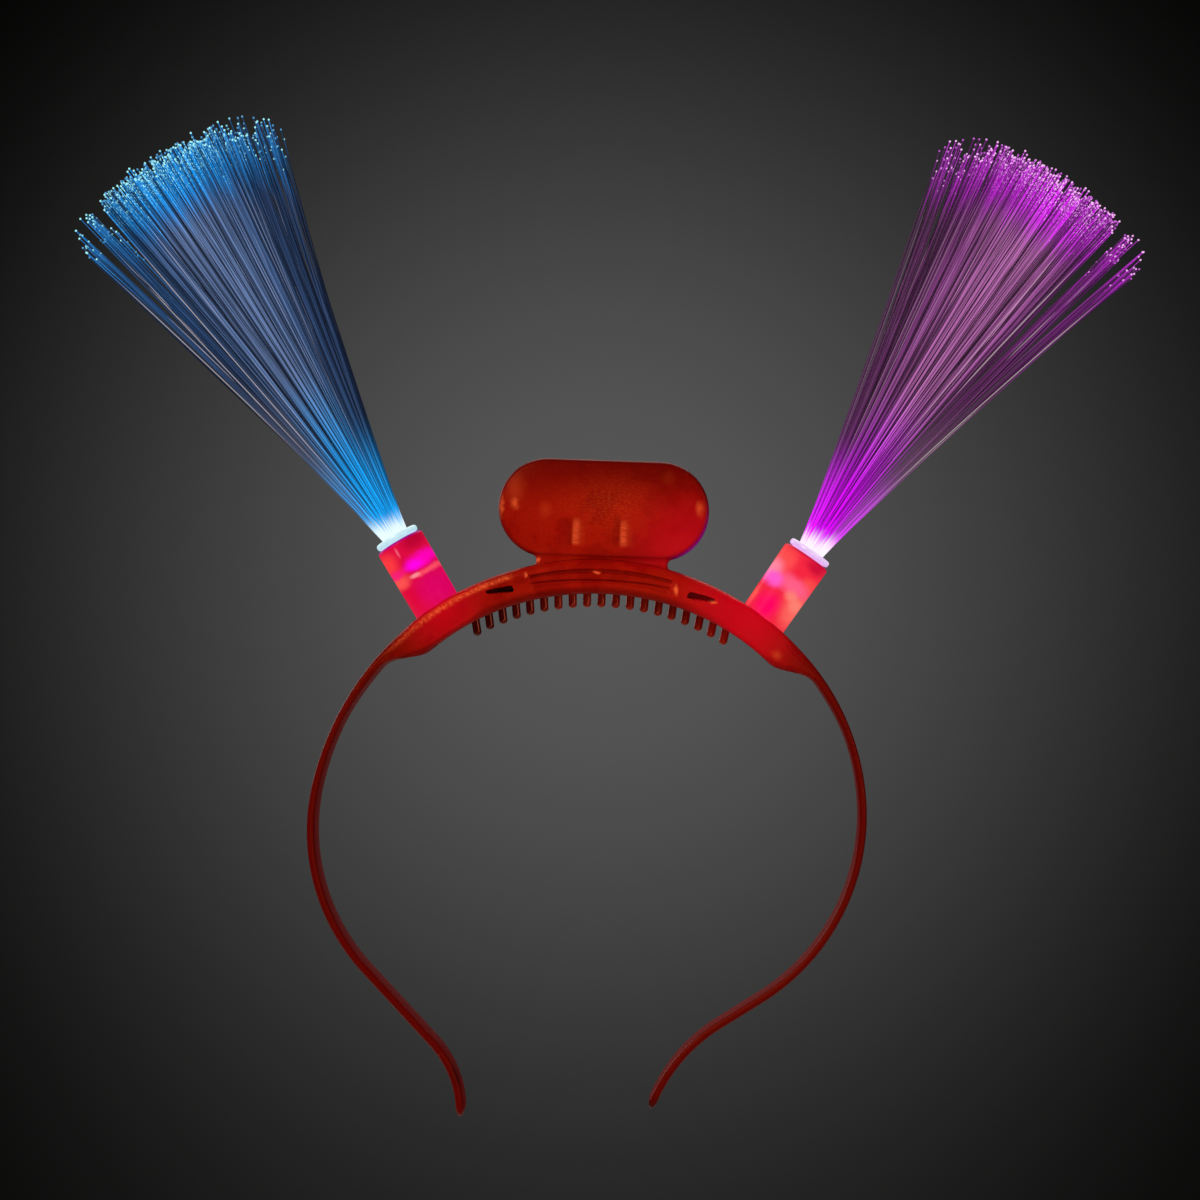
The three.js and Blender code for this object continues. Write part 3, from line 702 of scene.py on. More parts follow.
def front_gleam(graph, place, grain):
    """Painted highlights on the front: bright places, the lit shoulder, the gleam of the pod's inner ribs
    that show through and a scratched sheen; and the ribs' painted shadows.
    """
    pod = bpy.context.scene.headband_pod
    x, y, z = graph.split(place)
    front = graph.ease(y, 0.0, -3 * MM)
    streaks = graph.noise(graph.vector("MULTIPLY", place, (0.2, 1.0, 1.0)), 2200.0)
    upright = graph.ease(z, pod.rib_bottom, pod.rib_bottom + 1.5 * MM)
    upright = upright * graph.ease(z, pod.rib_top, pod.rib_top - 3 * MM)
    upright = upright * graph.ease(streaks, 0.25, 0.65, 0.5, 1.0)
    # Painted gleam of the ribs that show through, and painted shadows beside them
    gleam, shadow = 0.0, 0.0
    for edge in RIB_EDGES:
        beyond = x - edge
        fading = graph.ease(beyond, pod.rib_width, 0.8 * MM) * 0.4
        fading = graph.ease(beyond, 2.2 * MM, 0.9 * MM) * 0.6 + fading
        gleam = graph.most(gleam, graph.ease(beyond, -0.4 * MM, 0.4 * MM) * fading * upright)
        beside = graph.ease(beyond, -2.8 * MM, -0.8 * MM) * graph.ease(beyond, 0.2 * MM, -0.5 * MM)
        shadow = graph.most(shadow, beside * upright)
    # Scratches on a worn patch in the middle of the pod's front, lit as a painted sheen
    scratch_glints = graph.noise(graph.vector("MULTIPLY", place, (0.45, 1.0, 1.0)), 2600.0, 3.0, 0.6)
    wear_and_sheen = patch(graph, z, x, (pod.middle + 1 * MM, 2 * MM, 11 * MM, 18 * MM, 0.3))
    gleam = graph.most(gleam * 0.68, wear_and_sheen * graph.ease(scratch_glints, 0.4, 0.75, 0.15, 1.0))
    # Painted highlights at the listed places, with wavering edges
    wander = (graph.noise(place, 520.0) - 0.5) * (1.6 * MM)
    along, beside = z + wander, x - wander
    for row in PAINTED_HIGHLIGHTS:
        gleam = graph.most(gleam, patch(graph, along, beside, row))
    # Painted highlight along the crown's left shoulder
    shoulder = left_shoulder(graph, x, z) * graph.ease(grain, 0.35, 0.65, 0.15, 0.8)
    return graph.most(gleam, shoulder) * front, shadow * 0.5 * front


def left_shoulder(graph, x, z):
    """How close a place lies to the shoulder of the crown's left half, where a highlight is painted."""
    radius, middle = crown_arc()
    depth = radius - graph.hypot(x, z - middle)
    lit = graph.ease(depth, 0.5 * MM, 1.3 * MM) * graph.ease(depth, 2.7 * MM, 1.5 * MM)
    along = graph.ease(x, -56 * MM, -42 * MM) * graph.ease(x, -21 * MM, -24 * MM)
    return lit * along * graph.ease(z, -24 * MM, -16 * MM)


def pod_rim(graph, x, z):
    """How close a place on the pod lies to its outline."""
    pod = bpy.context.scene.headband_pod
    half = pod.height / 2
    past = graph.most(abs(x) - (pod.length - pod.height) / 2, 0.0)
    rim = graph.ease(graph.hypot(past, z - pod.middle), half - 1.6 * MM, half)
    bottom = pod.middle - half
    return rim * graph.ease(z, bottom + 0.1 * MM, bottom + 0.8 * MM)


def comb_red():
    """Darker translucent red of the comb, with painted shade towards its ends and painted lamp light near
    the right lamp.
    """
    tones = bpy.context.scene.headband_plastic
    material, graph, place = new_material("comb_red")
    cloud, grain, _ = graph.group(moulded_grain, {"Place": place, "Cloud Scale": 240.0}).values()
    x, _, _ = graph.split(place)
    # Painted shade: the comb darkens towards its left end
    body = graph.mix(graph.ease(x, -30 * MM, 3 * MM), tones.comb_shade, tones.comb)
    body = graph.mix(cloud * 0.4, body, tones.comb_shade)
    # Painted shade towards the right end
    body = graph.mix(graph.ease(x, 6 * MM, 22 * MM, 0.0, 0.4), body, tones.comb_shade)
    # Painted lamp light near the right lamp
    body = graph.mix(lamp_mask(graph, place, "right", 26 * MM, 0.6), body, tones.red)
    graph.shade({
        "Base Color": body, "Roughness": graph.span(grain, 0.08, 0.2),
        "Normal": graph.bump(grain, 0.15, 0.05 * MM),
        "Specular IOR Level": 0.75, "Specular Tint": rgba((1.0, 0.22, 0.1)),
        "Subsurface Weight": 0.2, "Subsurface Radius": RED_SCATTER, "Subsurface Scale": 1.0 * MM})
    return material


def lit_tube(side):
    """Translucent tube with the patches of light that its lamp throws on the wall."""
    tones = bpy.context.scene.headband_glow
    material, graph, place = new_material(f"lit_tube_{side}")
    cloud, grain, _ = graph.group(moulded_grain, {"Place": place, "Cloud Scale": 160.0}).values()
    along, across = on_stalk(graph, place, side)
    wavy = along + (cloud - 0.5) * (0.6 * MM)
    light = getattr(tones, f"tube_{side}")
    for *row, tone in TUBE_PATCHES[side]:
        light = graph.mix(patch(graph, wavy, across, row, 0.2), light, tone)
    mouth = bpy.context.scene.headband_stalk.tube_length
    edge = tones.violet if side == "left" else tones.mouth
    light = graph.mix(graph.ease(along, mouth - 0.9 * MM, mouth - 0.1 * MM, 0.0, 0.7), light, edge)
    graph.shade({
        "Base Color": graph.mix(cloud, (0.06, 0.0, 0.006), (0.1, 0.002, 0.012)),
        "Emission Color": light, "Emission Strength": 0.95, "Roughness": graph.span(grain, 0.2, 0.4),
        "Normal": graph.bump(cloud, 0.1, 0.05 * MM), "Specular IOR Level": 0.08,
        "Specular Tint": rgba((1.0, 0.25, 0.35))})
    return material


def collar_resin(side):
    """Clear moulded resin that the fibers' roots light up."""
    tones = bpy.context.scene.headband_glow
    light = getattr(tones, f"collar_{side}")
    material, graph, place = new_material(f"collar_resin_{side}")
    cloud, grain, _ = graph.group(moulded_grain, {"Place": place, "Cloud Scale": 420.0}).values()
    along, _ = on_stalk(graph, place, side)
    bright = graph.ease(along, collar_top() - 1.4 * MM, collar_top() + 0.1 * MM)
    tone = graph.mix(bright * 0.6, light, getattr(tones, f"root_{side}"))
    graph.shade({
        "Base Color": graph.mix(cloud, (0.1, 0.12, 0.14), (0.2, 0.22, 0.24)),
        "Emission Color": graph.mix(cloud * 0.4, tone, light), "Emission Strength": 0.9,
        "Roughness": graph.span(grain, 0.12, 0.28)})
    return material


def lamp_resin():
    """Lit resin of the lamps inside the tubes."""
    material, graph, place = new_material("lamp_resin")
    cloud = graph.group(moulded_grain, {"Place": place, "Cloud Scale": 500.0})["Cloud"]
    light = graph.mix(cloud * 0.4, bpy.context.scene.headband_glow.lamp, (1.0, 0.6, 0.9))
    graph.shade({"Base Color": light, "Emission Color": light, "Emission Strength": 1.0, "Roughness": 0.15})
    return material


def glowing_fiber(side):
    """Clear fibers: white roots, a bright throat, a dim middle and bright beads."""
    tones = bpy.context.scene.headband_glow
    material, graph, place = new_material(f"glowing_fiber_{side}")
    inputs = {name.title(): graph.attribute(name) for name in ("reach", "outwards", "across", "strand")}
    inputs["Glitter"] = graph.ease(graph.noise(place, 2000.0, 1.0), 0.56, 0.62)
    for label in STRAND_TONES:
        inputs[label] = rgba(getattr(tones, f"{label.lower()}_{side}"))
    light = graph.group(strand_light, inputs)["Light"]
    graph.shade({
        "Base Color": graph.mix(0.95, light, (0.004, 0.004, 0.008)), "Emission Color": light,
        "Emission Strength": 1.0, "Roughness": 0.3, "Specular IOR Level": 0.15})
    material.cycles.emission_sampling = "NONE"
    return material


# Meshes

def new_object(name, data):
    """A new object in the scene."""
    obj = bpy.data.objects.new(name, data)
    bpy.context.scene.collection.objects.link(obj)
    return obj


def mesh_object(name, points, faces):
    """A new object from points and faces, with its faces turned outwards."""
    mesh = bpy.data.meshes.new(name)
    mesh.from_pydata([tuple(point) for point in points], [], faces)
    tidy_mesh(mesh)
    return new_object(name, mesh)


def tidy_mesh(mesh):
    """Merge doubles, turn faces outwards and shade smooth apart from sharp edges."""
    bm = bmesh.new()
    bm.from_mesh(mesh)
    bmesh.ops.remove_doubles(bm, verts=bm.verts, dist=MERGE_DISTANCE)
    bmesh.ops.recalc_face_normals(bm, faces=bm.faces)
    for face in bm.faces:
        face.smooth = True
    for edge in bm.edges:
        edge.smooth = edge.calc_face_angle(0.0) < SHARP_ANGLE
    bm.to_mesh(mesh)
    bm.free()
    mesh.update()


def ring_faces(rings, size, closed=False):
    """Faces between rings of points; closed joins the last ring to the first."""
    faces = []
    for i in range(rings if closed else rings - 1):
        here, after = i * size, (i + 1) % rings * size
        for j in range(size):
            k = (j + 1) % size
            faces.append((here + j, here + k, after + k, after + j))
    return faces


def skin(rings):
    """Points and faces of a skin through a row of rings, closed at both ends."""
    size = len(rings[0])
    points = [point for ring in rings for point in ring]
    ends = [tuple(reversed(range(size))), tuple(range(len(points) - size, len(points)))]
    return points, ring_faces(len(rings), size) + ends


def turned(profile, matrix):
    """Points and faces of a piece turned about Z from a closed profile of (radius, height), then placed."""
    points = []
    for radius, height in profile:
        for j in range(TURNED_SIDES):
            around = 2 * math.pi * j / TURNED_SIDES
            points.append(matrix @ Vector((radius * math.cos(around), radius * math.sin(around), height)))
    return points, ring_faces(len(profile), TURNED_SIDES, closed=True)


def eased_profile(corners, steps=4):
    """A closed profile with its corners rounded off, from rows of radius, height and easing."""
    rounded = []
    places = [Vector((radius, height)) for radius, height, _ in corners]
    for i, corner in enumerate(places):
        easing = corners[i][2]
        before = (places[i - 1] - corner).normalized() * easing
        after = (places[(i + 1) % len(places)] - corner).normalized() * easing
        for step in range(steps + 1):
            t = step / steps
            rounded.append(corner + before * (1 - t) ** 2 + after * t ** 2)
    return rounded


def evaluated(obj):
    """Replace an object's mesh by the result of its modifiers, and remove them."""
    graph = bpy.context.evaluated_depsgraph_get()
    mesh = bpy.data.meshes.new_from_object(
        obj.evaluated_get(graph), preserve_all_data_layers=True, depsgraph=graph)
    obj.modifiers.clear()
    old = obj.data
    obj.data = mesh
    bpy.data.meshes.remove(old)
    mesh.name = obj.name
    return obj


def combine(obj, other, operation):
    """Join another closed object to this one, or cut it away, and remove the other."""
    modifier = obj.modifiers.new(operation.lower(), "BOOLEAN")
    modifier.operation = operation
    modifier.solver = "EXACT"
    modifier.object = other
    evaluated(obj)
    mesh = other.data
    bpy.data.objects.remove(other)
    bpy.data.meshes.remove(mesh)
    tidy_mesh(obj.data)
    return obj


def finish_piece(obj, material, slot, *nodes):
    """Dress a piece, let it ride on the body and let it stand for its nodes."""
    obj.data.materials.clear()
    obj.data.materials.append(material)
    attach(obj, BODY)
    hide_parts(*nodes)
    return obj


def smoothstep(value, low, high):
    """Smooth rise from 0 at the low value to 1 at the high one."""
    t = min(1.0, max(0.0, (value - low) / (high - low)))
    return t * t * (3 - 2 * t)


def gate(value, low, high, soft):
    """1 between two values and 0 outside, with soft edges."""
    rise = smoothstep(value, low - soft / 2, low + soft / 2)
    return rise * (1 - smoothstep(value, high - soft / 2, high + soft / 2))


# Band

def arm_length(side):
    """Length of the band's outer edge from the middle of the crown to a tip."""
    return sum(run for run, _ in ARM_BENDS[side])


def edge_at(distance):
    """Point on the band's outer edge and the way inwards; negative distances run along the left arm."""
    sign = -1 if distance < 0 else 1
    remaining = abs(distance)
    heading, x, z = 0.0, 0.0, bpy.context.scene.headband_band.crown_top
    for bend, degrees in ARM_BENDS["left" if distance < 0 else "right"]:
        run = min(remaining, bend)
        turn = math.radians(degrees) * run / bend
        chord = run if turn == 0 else 2 * run / turn * math.sin(turn / 2)
        x += chord * math.cos(heading + turn / 2)
        z -= chord * math.sin(heading + turn / 2)
        heading += turn
        remaining -= run
    return Vector((sign * x, 0.0, z)), Vector((-sign * math.sin(heading), 0.0, -math.cos(heading)))


def band_section(distance):
    """Thickness, depth and corner radius of the band, eased from row to row of the table."""
    along = abs(distance)
    row = 0
    while row < len(BAND_SECTIONS) - 2 and along > BAND_SECTIONS[row + 1][0]:
        row += 1
    low, high = BAND_SECTIONS[row], BAND_SECTIONS[row + 1]
    t = smoothstep(along, low[0], high[0])
    return [a + (b - a) * t for a, b in zip(low[1:], high[1:])]


def ring_across(distance, top, bottom, front, back, corner, front_steps=1, sunk=None):
    """Rounded rectangle across the band; sunk gives how far a place on the front lies behind it."""
    point, inwards = edge_at(distance)
    middles = ((bottom - corner, back - corner), (top + corner, back - corner),
               (top + corner, front + corner), (bottom - corner, front + corner))
    places = []
    for quarter, (depth, y) in enumerate(middles):
        for step in range(CORNER_STEPS + 1):
            around = (quarter + step / CORNER_STEPS) * math.pi / 2
            places.append((depth + corner * math.cos(around), y + corner * math.sin(around)))
        if quarter == 2:
            high, low = top + corner, bottom - corner
            for step in range(1, front_steps):
                depth = high + (low - high) * step / front_steps
                places.append((depth, front + (sunk(distance, depth) if sunk else 0.0)))
    return [point + inwards * depth + Vector((0.0, y, 0.0)) for depth, y in places]


def front_sunk(distance, depth):
    """How far the crown's front lies back in its slots, its panel and the panel's grooves."""
    band = bpy.context.scene.headband_band
    along = abs(distance)
    slot_soft, panel_soft, groove_soft = mm(0.25, 0.5, 0.7)
    squareness = 24
    inner, outer = SLOT_ENDS
    if inner[0] < along < outer[0]:
        place = (along - inner[0]) / (outer[0] - inner[0])
        top, bottom = (a + (b - a) * place for a, b in zip(inner[1:], outer[1:]))
        half = (bottom - top) / 2 * (1 - abs(2 * place - 1) ** squareness)
        level = (top + bottom) / 2
        return gate(depth, level - half, level + half, slot_soft) * band.slot_depth
    sunk = gate(depth, *PANEL_LEVELS, panel_soft) * band.panel_depth
    for level, rise, width in GROOVES:
        middle = level - rise * (along / band.panel_half) ** 2
        groove = gate(depth, middle - width / 2, middle + width / 2, groove_soft)
        sunk = max(sunk, groove * (band.panel_depth + band.groove_depth))
    return sunk * (1 - smoothstep(along, band.panel_half - 0.5 * MM, band.panel_half + 0.3 * MM))


def spaced(low, high, step):
    """Even places from low to high, no further apart than the step."""
    count = math.ceil((high - low) / step)
    return [low + (high - low) * i / count for i in range(count + 1)]


def band_places():
    """Distances along the band for its sections, closer at its tips and at the ends of its recesses."""
    band = bpy.context.scene.headband_band
    left, right = -arm_length("left"), arm_length("right")
    places = spaced(left + band.tip_round, right - band.tip_round, band.step)
    for i in range(1, TIP_STEPS + 1):
        rounding = band.tip_round * (1 - math.cos(i / TIP_STEPS * math.pi / 2))
        places += [left + rounding, right - rounding]
    fine = 0.1 * MM
    closer = spaced(band.panel_half - 0.6 * MM, band.panel_half + 0.4 * MM, fine)
    for end, _, _ in SLOT_ENDS:
        closer += spaced(end - 0.5 * MM, end + 0.5 * MM, fine)
    for nearby in closer:
        places += [nearby, -nearby]
    places.sort()
    return [b for a, b in zip([left - 1.0] + places, places) if b - a > 1e-6]


def band_bar(low, high, section):
    """Closed bar along the band between two distances."""
    rings = [ring_across(distance, **section(distance)) for distance in spaced(low, high, BAR_STEP)]
    return skin(rings)


class HEADBAND_OT_band(Operator):
    """Build the moulded band with the opening in its crown's back, its slots and grooves"""

    bl_idname = "headband.band"
    bl_label = "Band"

    def execute(self, context):
        band = context.scene.headband_band
        left, right = -arm_length("left"), arm_length("right")
        rings = []
        for distance in band_places():
            thick, deep, corner = band_section(distance)
            corner -= gate(abs(distance), *TUBE_SEAT) * band.seat_edge
            to_end = min(distance - left, right - distance, band.tip_round)
            swell = math.sqrt(max(0.0, 1 - (1 - to_end / band.tip_round) ** 2))
            trim = (1 - swell) * thick / 2
            half = deep / 2 - (1 - swell) * deep * band.tip_trim
            rings.append(ring_across(
                distance, trim, thick - trim, -half, half, corner * swell, FRONT_STEPS, front_sunk))
        obj = mesh_object("headband_moulding", *skin(rings))
        thick, deep, _ = band_section(0.0)
        strip = context.scene.headband_comb.strip_thick
        rebate = band_bar(-band.half_hollow, band.half_hollow, lambda distance: {
            "top": band.wall, "bottom": thick + OVERRUN, "front": deep / 2 - strip - 2 * band.gap,
            "back": deep / 2 + OVERRUN, "corner": 0.2 * MM})
        combine(obj, mesh_object("rebate", *rebate), "DIFFERENCE")
        mark_faces(obj.data)
        finish_piece(obj, moulded_red(), "red_plastic", "headband")
        return {"FINISHED"}


def mark_faces(mesh):
    """Store how deep points lie in the crown's slots and panel, and which way they face, as masks of painted
    shade.
    """
    deep = band_section(0.0)[1]
    marks = {"recess": [], "dip": [], "edge": [], "under": []}
    half, lower, lowest = UNDERSIDE
    for vertex in mesh.vertices:
        x, y, z = vertex.co
        sunk, below = y + deep / 2, crown_depth(vertex.co)
        in_slot, in_panel = (abs(x) < reach and sunk < behind and top < below < bottom
                             for reach, behind, top, bottom in (SLOT_ZONE, PANEL_ZONE))
        # Masks of painted shade: in the slots, in the panel, on faces turned from the front and under the
        # crown
        marks["recess"].append(smoothstep(sunk, 0.8 * MM, 2.2 * MM) if in_slot else 0.0)
        marks["dip"].append(smoothstep(sunk, 0.1 * MM, 0.64 * MM) if in_panel else 0.0)
        marks["edge"].append(smoothstep(1 - abs(vertex.normal.y), 0.45, 1.0))
        on_crown = abs(x) < half and below > lower and z > lowest
        marks["under"].append(smoothstep(-vertex.normal.z, 0.1, 0.6) if on_crown else 0.0)
    for name, values in marks.items():
        mesh.attributes.new(name, "FLOAT", "POINT").data.foreach_set("value", values)


def crown_arc():
    """Radius of the crown's outer edge, which is an arc, and the height of the arc's middle."""
    bend, degrees = ARM_BENDS["left"][0]
    radius = bend / math.radians(degrees)
    return radius, bpy.context.scene.headband_band.crown_top - radius


def crown_depth(point):
    """Depth of a point below the crown's outer edge."""
    radius, middle = crown_arc()
    return radius - math.hypot(point.x, point.z - middle)


# Comb

def comb_tree():
    """Geometry nodes that set the comb's teeth on their circle and join them to the strip."""
    graph = Graph(bpy.data.node_groups.new("comb_teeth", "GeometryNodeTree"))
    strip, count, pitch, radius, size, lean, tip_radius, depth, finish = graph.sockets(
        {"Strip": "Geometry", "Teeth": 19, "Pitch": 0.058, "Tooth Radius": 0.001, "Tooth Length": 0.006,
         "Lean": 0.37, "Tip Radius": 0.062, "Depth": 0.005, "Finish": "Material"},
        {"Comb": "Geometry"}).values()
    index = graph.add("GeometryNodeInputIndex")
    around = (index - (count - 1.0) * 0.5) * pitch
    drop = graph.math("COSINE", around) - 1.0
    place = graph.place(tip_radius * graph.math("SINE", around), depth, tip_radius * drop)
    points = graph.add("GeometryNodePoints", {"Count": count, "Position": place})
    height = graph.add("GeometryNodeSplineParameter", output="Length")
    to_pole = graph.most(1.0 - height / radius, 0.0)
    swell = graph.math("SQRT", 1.001 - to_pole * to_pole)
    tooth = graph.tube(graph.line(graph.place(z=size), TOOTH_POINTS), radius, TOOTH_SIDES, swell)
    teeth = graph.add("GeometryNodeInstanceOnPoints", {
        "Points": points, "Instance": tooth, "Rotation": graph.place(y=around * lean)})
    graph.feed(graph.result, {"Comb": graph.dressed(graph.joined(strip, teeth), finish)})
    return graph.tree


def grow(obj, tree, values):
    """Run a geometry node tree on an object with values for its named inputs, and keep the mesh."""
    modifier = obj.modifiers.new(tree.name, "NODES")
    modifier.node_group = tree
    for item in tree.interface.items_tree:
        if item.in_out == "INPUT" and item.name in values:
            modifier[item.identifier] = values[item.name]
    return evaluated(obj)


class HEADBAND_OT_comb(Operator):
    """Build the comb and the strip that closes the crown's back"""

    bl_idname = "headband.comb"
    bl_label = "Comb"

    def execute(self, context):
        band, comb = context.scene.headband_band, context.scene.headband_comb
        back = band_section(0.0)[1] / 2 - band.gap
        half = band.half_hollow - band.gap
        strip = band_bar(-half, half, lambda distance: {
            "top": band.wall + band.gap, "bottom": band_section(distance)[0],
            "front": back - comb.strip_thick, "back": back, "corner": 0.35 * MM})
        obj = mesh_object("comb_strip", *strip)
        finish = comb_red()
        grow(obj, comb_tree(), {
            "Teeth": comb.teeth, "Pitch": comb.pitch, "Tooth Radius": comb.diameter / 2,
            "Tooth Length": comb.length, "Lean": comb.lean, "Tip Radius": comb.tip_radius,
            "Depth": back - comb.strip_thick / 2, "Finish": finish})
        tidy_mesh(obj.data)
        finish_piece(obj, finish, "comb_plastic", "comb_cover")
        return {"FINISHED"}


# Pod

def stadium(inset, y, half_round=24):
    """The pod's outline less an inset, at a place in Y."""
    pod = bpy.context.scene.headband_pod
    radius = pod.height / 2 - inset
    straight = (pod.length - pod.height) / 2
    ring = []
    for end in (1, -1):
        for step in range(half_round + 1):
            around = end * (step / half_round - 0.5) * math.pi
            x = end * straight + end * radius * math.cos(around)
            ring.append(Vector((x, y, pod.middle + radius * math.sin(around))))
    return ring


def arc(middle, radius, start, stop, steps):
    """Points of an arc as (inset, y) pairs; angles in degrees from the inset's way."""
    turns = [math.radians(start + (stop - start) * i / steps) for i in range(steps + 1)]
    return [(middle[0] + radius * math.cos(turn), middle[1] + radius * math.sin(turn)) for turn in turns]


def pod_profile():
    """Profile of the pod from the middle of its front over the rim to its hollow back, as (inset, y)."""
    pod = bpy.context.scene.headband_pod
    front, back = -pod.depth / 2, pod.depth / 2
    dome_from = 7 * MM
    profile = [(pod.height / 2 - POD_CORE, front)]
    for inset in spaced(0.0, dome_from - pod.rim, 0.7 * MM):
        t = inset / (dome_from - pod.rim)
        profile.append((dome_from - inset, front + pod.crowning * t * t))
    rim_middle = (pod.rim, front + pod.crowning + pod.rim)
    profile += arc(rim_middle, pod.rim, -105, -180, 8)
    back_rim = pod.wall - 0.2 * MM
    profile += arc((back_rim, back - back_rim), back_rim, 180, 90, 8)
    profile += [(pod.wall, back - 0.12 * MM), (pod.wall, front + pod.wall)]
    return profile


def neck_rings():
    """Upright rings of the neck, spreading where it meets the crown and the pod."""
    pod = bpy.context.scene.headband_pod
    bottom = pod.middle - pod.height / 2
    flare_from, flare_fade = mm(9.6, 0.7)
    fillet_above, fillet_fade = mm(0.45, 0.5)
    rings = []
    for z in spaced(pod.neck_bottom, pod.neck_top, 0.3 * MM):
        flare = pod.neck_flare * math.exp(-max(0.0, z - flare_from) / flare_fade)
        fillet = pod.neck_fillet * math.exp(-max(0.0, bottom + fillet_above - z) / fillet_fade)
        half_x, half_y = pod.neck_length / 2 + flare + fillet * 2, pod.neck_depth / 2 + flare * 0.5 + fillet
        ring = []
        for quarter, (sx, sy) in enumerate(((1, 1), (-1, 1), (-1, -1), (1, -1))):
            for step in range(CORNER_STEPS + 1):
                around = (quarter + step / CORNER_STEPS) * math.pi / 2
                ring.append(Vector((
                    sx * (half_x - pod.neck_corner) + pod.neck_corner * math.cos(around),
                    sy * (half_y - pod.neck_corner) + pod.neck_corner * math.sin(around), z)))
        rings.append(ring)
    return rings


class HEADBAND_OT_pod(Operator):
    """Build the battery pod on its neck, and the cover in its back"""

    bl_idname = "headband.pod"
    bl_label = "Battery pod"

    def execute(self, context):
        pod, band = context.scene.headband_pod, context.scene.headband_band
        finish = moulded_red()
        obj = mesh_object("battery_pod_shell", *skin([stadium(inset, y) for inset, y in pod_profile()]))
        combine(obj, mesh_object("neck", *skin(neck_rings())), "UNION")
        finish_piece(obj, finish, "red_plastic", "battery_pod")
        back = pod.depth / 2
        inset = pod.wall + band.gap
        round_edge = 0.3 * MM
        rows = [(pod.height / 2 - POD_CORE, back - pod.cover_thick), (inset, back - pod.cover_thick)]
        rows += arc((inset + round_edge, back - round_edge), round_edge, 180, 90, 4)
        rows.append((pod.height / 2 - POD_CORE, back))
        cover = mesh_object("pod_back_plate", *skin([stadium(*row) for row in rows]))
        finish_piece(cover, finish, "red_plastic", "pod_cover")
        return {"FINISHED"}


# Stalks

def stalk_matrix(side):
    """Place of a stalk: its foot on the crown, with Z along it."""
    stalk = bpy.context.scene.headband_stalk
    sign = SIDES[side][0]
    foot = Vector((sign * stalk.foot_x, 0.0, stalk.foot_z))
    return Matrix.Translation(foot) @ Matrix.Rotation(sign * stalk.lean, 4, "Y")


def collar_top():
    """Height of the collars' faces above the stalks' feet."""
    stalk = bpy.context.scene.headband_stalk
    return stalk.tube_length + stalk.collar_gap + stalk.collar_thick


class HEADBAND_OT_stalks(Operator):
    """Build the lamp tubes and their collars, and light the lamps"""

    bl_idname = "headband.stalks"
    bl_label = "Lamp stalks"

    def execute(self, context):
        stalk = context.scene.headband_stalk
        outer = stalk.tube_diameter / 2
        inner = outer - stalk.tube_wall
        slight, soft = 0.3 * MM, 0.65 * MM
        mouth = outer + stalk.tube_flare
        tube = eased_profile(((inner, -stalk.tube_sunk, slight), (outer, -stalk.tube_sunk, slight),
                              (mouth, stalk.tube_length, 1.0 * MM), (inner, stalk.tube_length, slight)))
        foot = stalk.tube_length + stalk.collar_gap
        head = collar_top()
        bore, sleeve, rim = stalk.collar_bore / 2, stalk.collar_sleeve / 2, stalk.collar_flange / 2
        sunk = foot - stalk.collar_sunk
        collar = eased_profile(((bore, sunk, slight), (sleeve, sunk, slight), (sleeve, foot, slight),
                                (rim, foot, soft), (rim, head, soft), (bore, head, slight)))
        lamp = lamp_resin()
        for side in SIDES:
            place = stalk_matrix(side)
            piece = mesh_object(f"lamp_tube_{side}", *turned(tube, place))
            finish_piece(piece, lit_tube(side), "lit_tube", f"led_tube_{side}")
            piece = mesh_object(f"plume_collar_{side}", *turned(collar, place))
            finish_piece(piece, collar_resin(side), "collar_resin", f"fiber_collar_{side}")
            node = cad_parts[f"led_{side}"]
            node.data.materials.clear()
            node.data.materials.append(lamp)
        return {"FINISHED"}


# Plumes

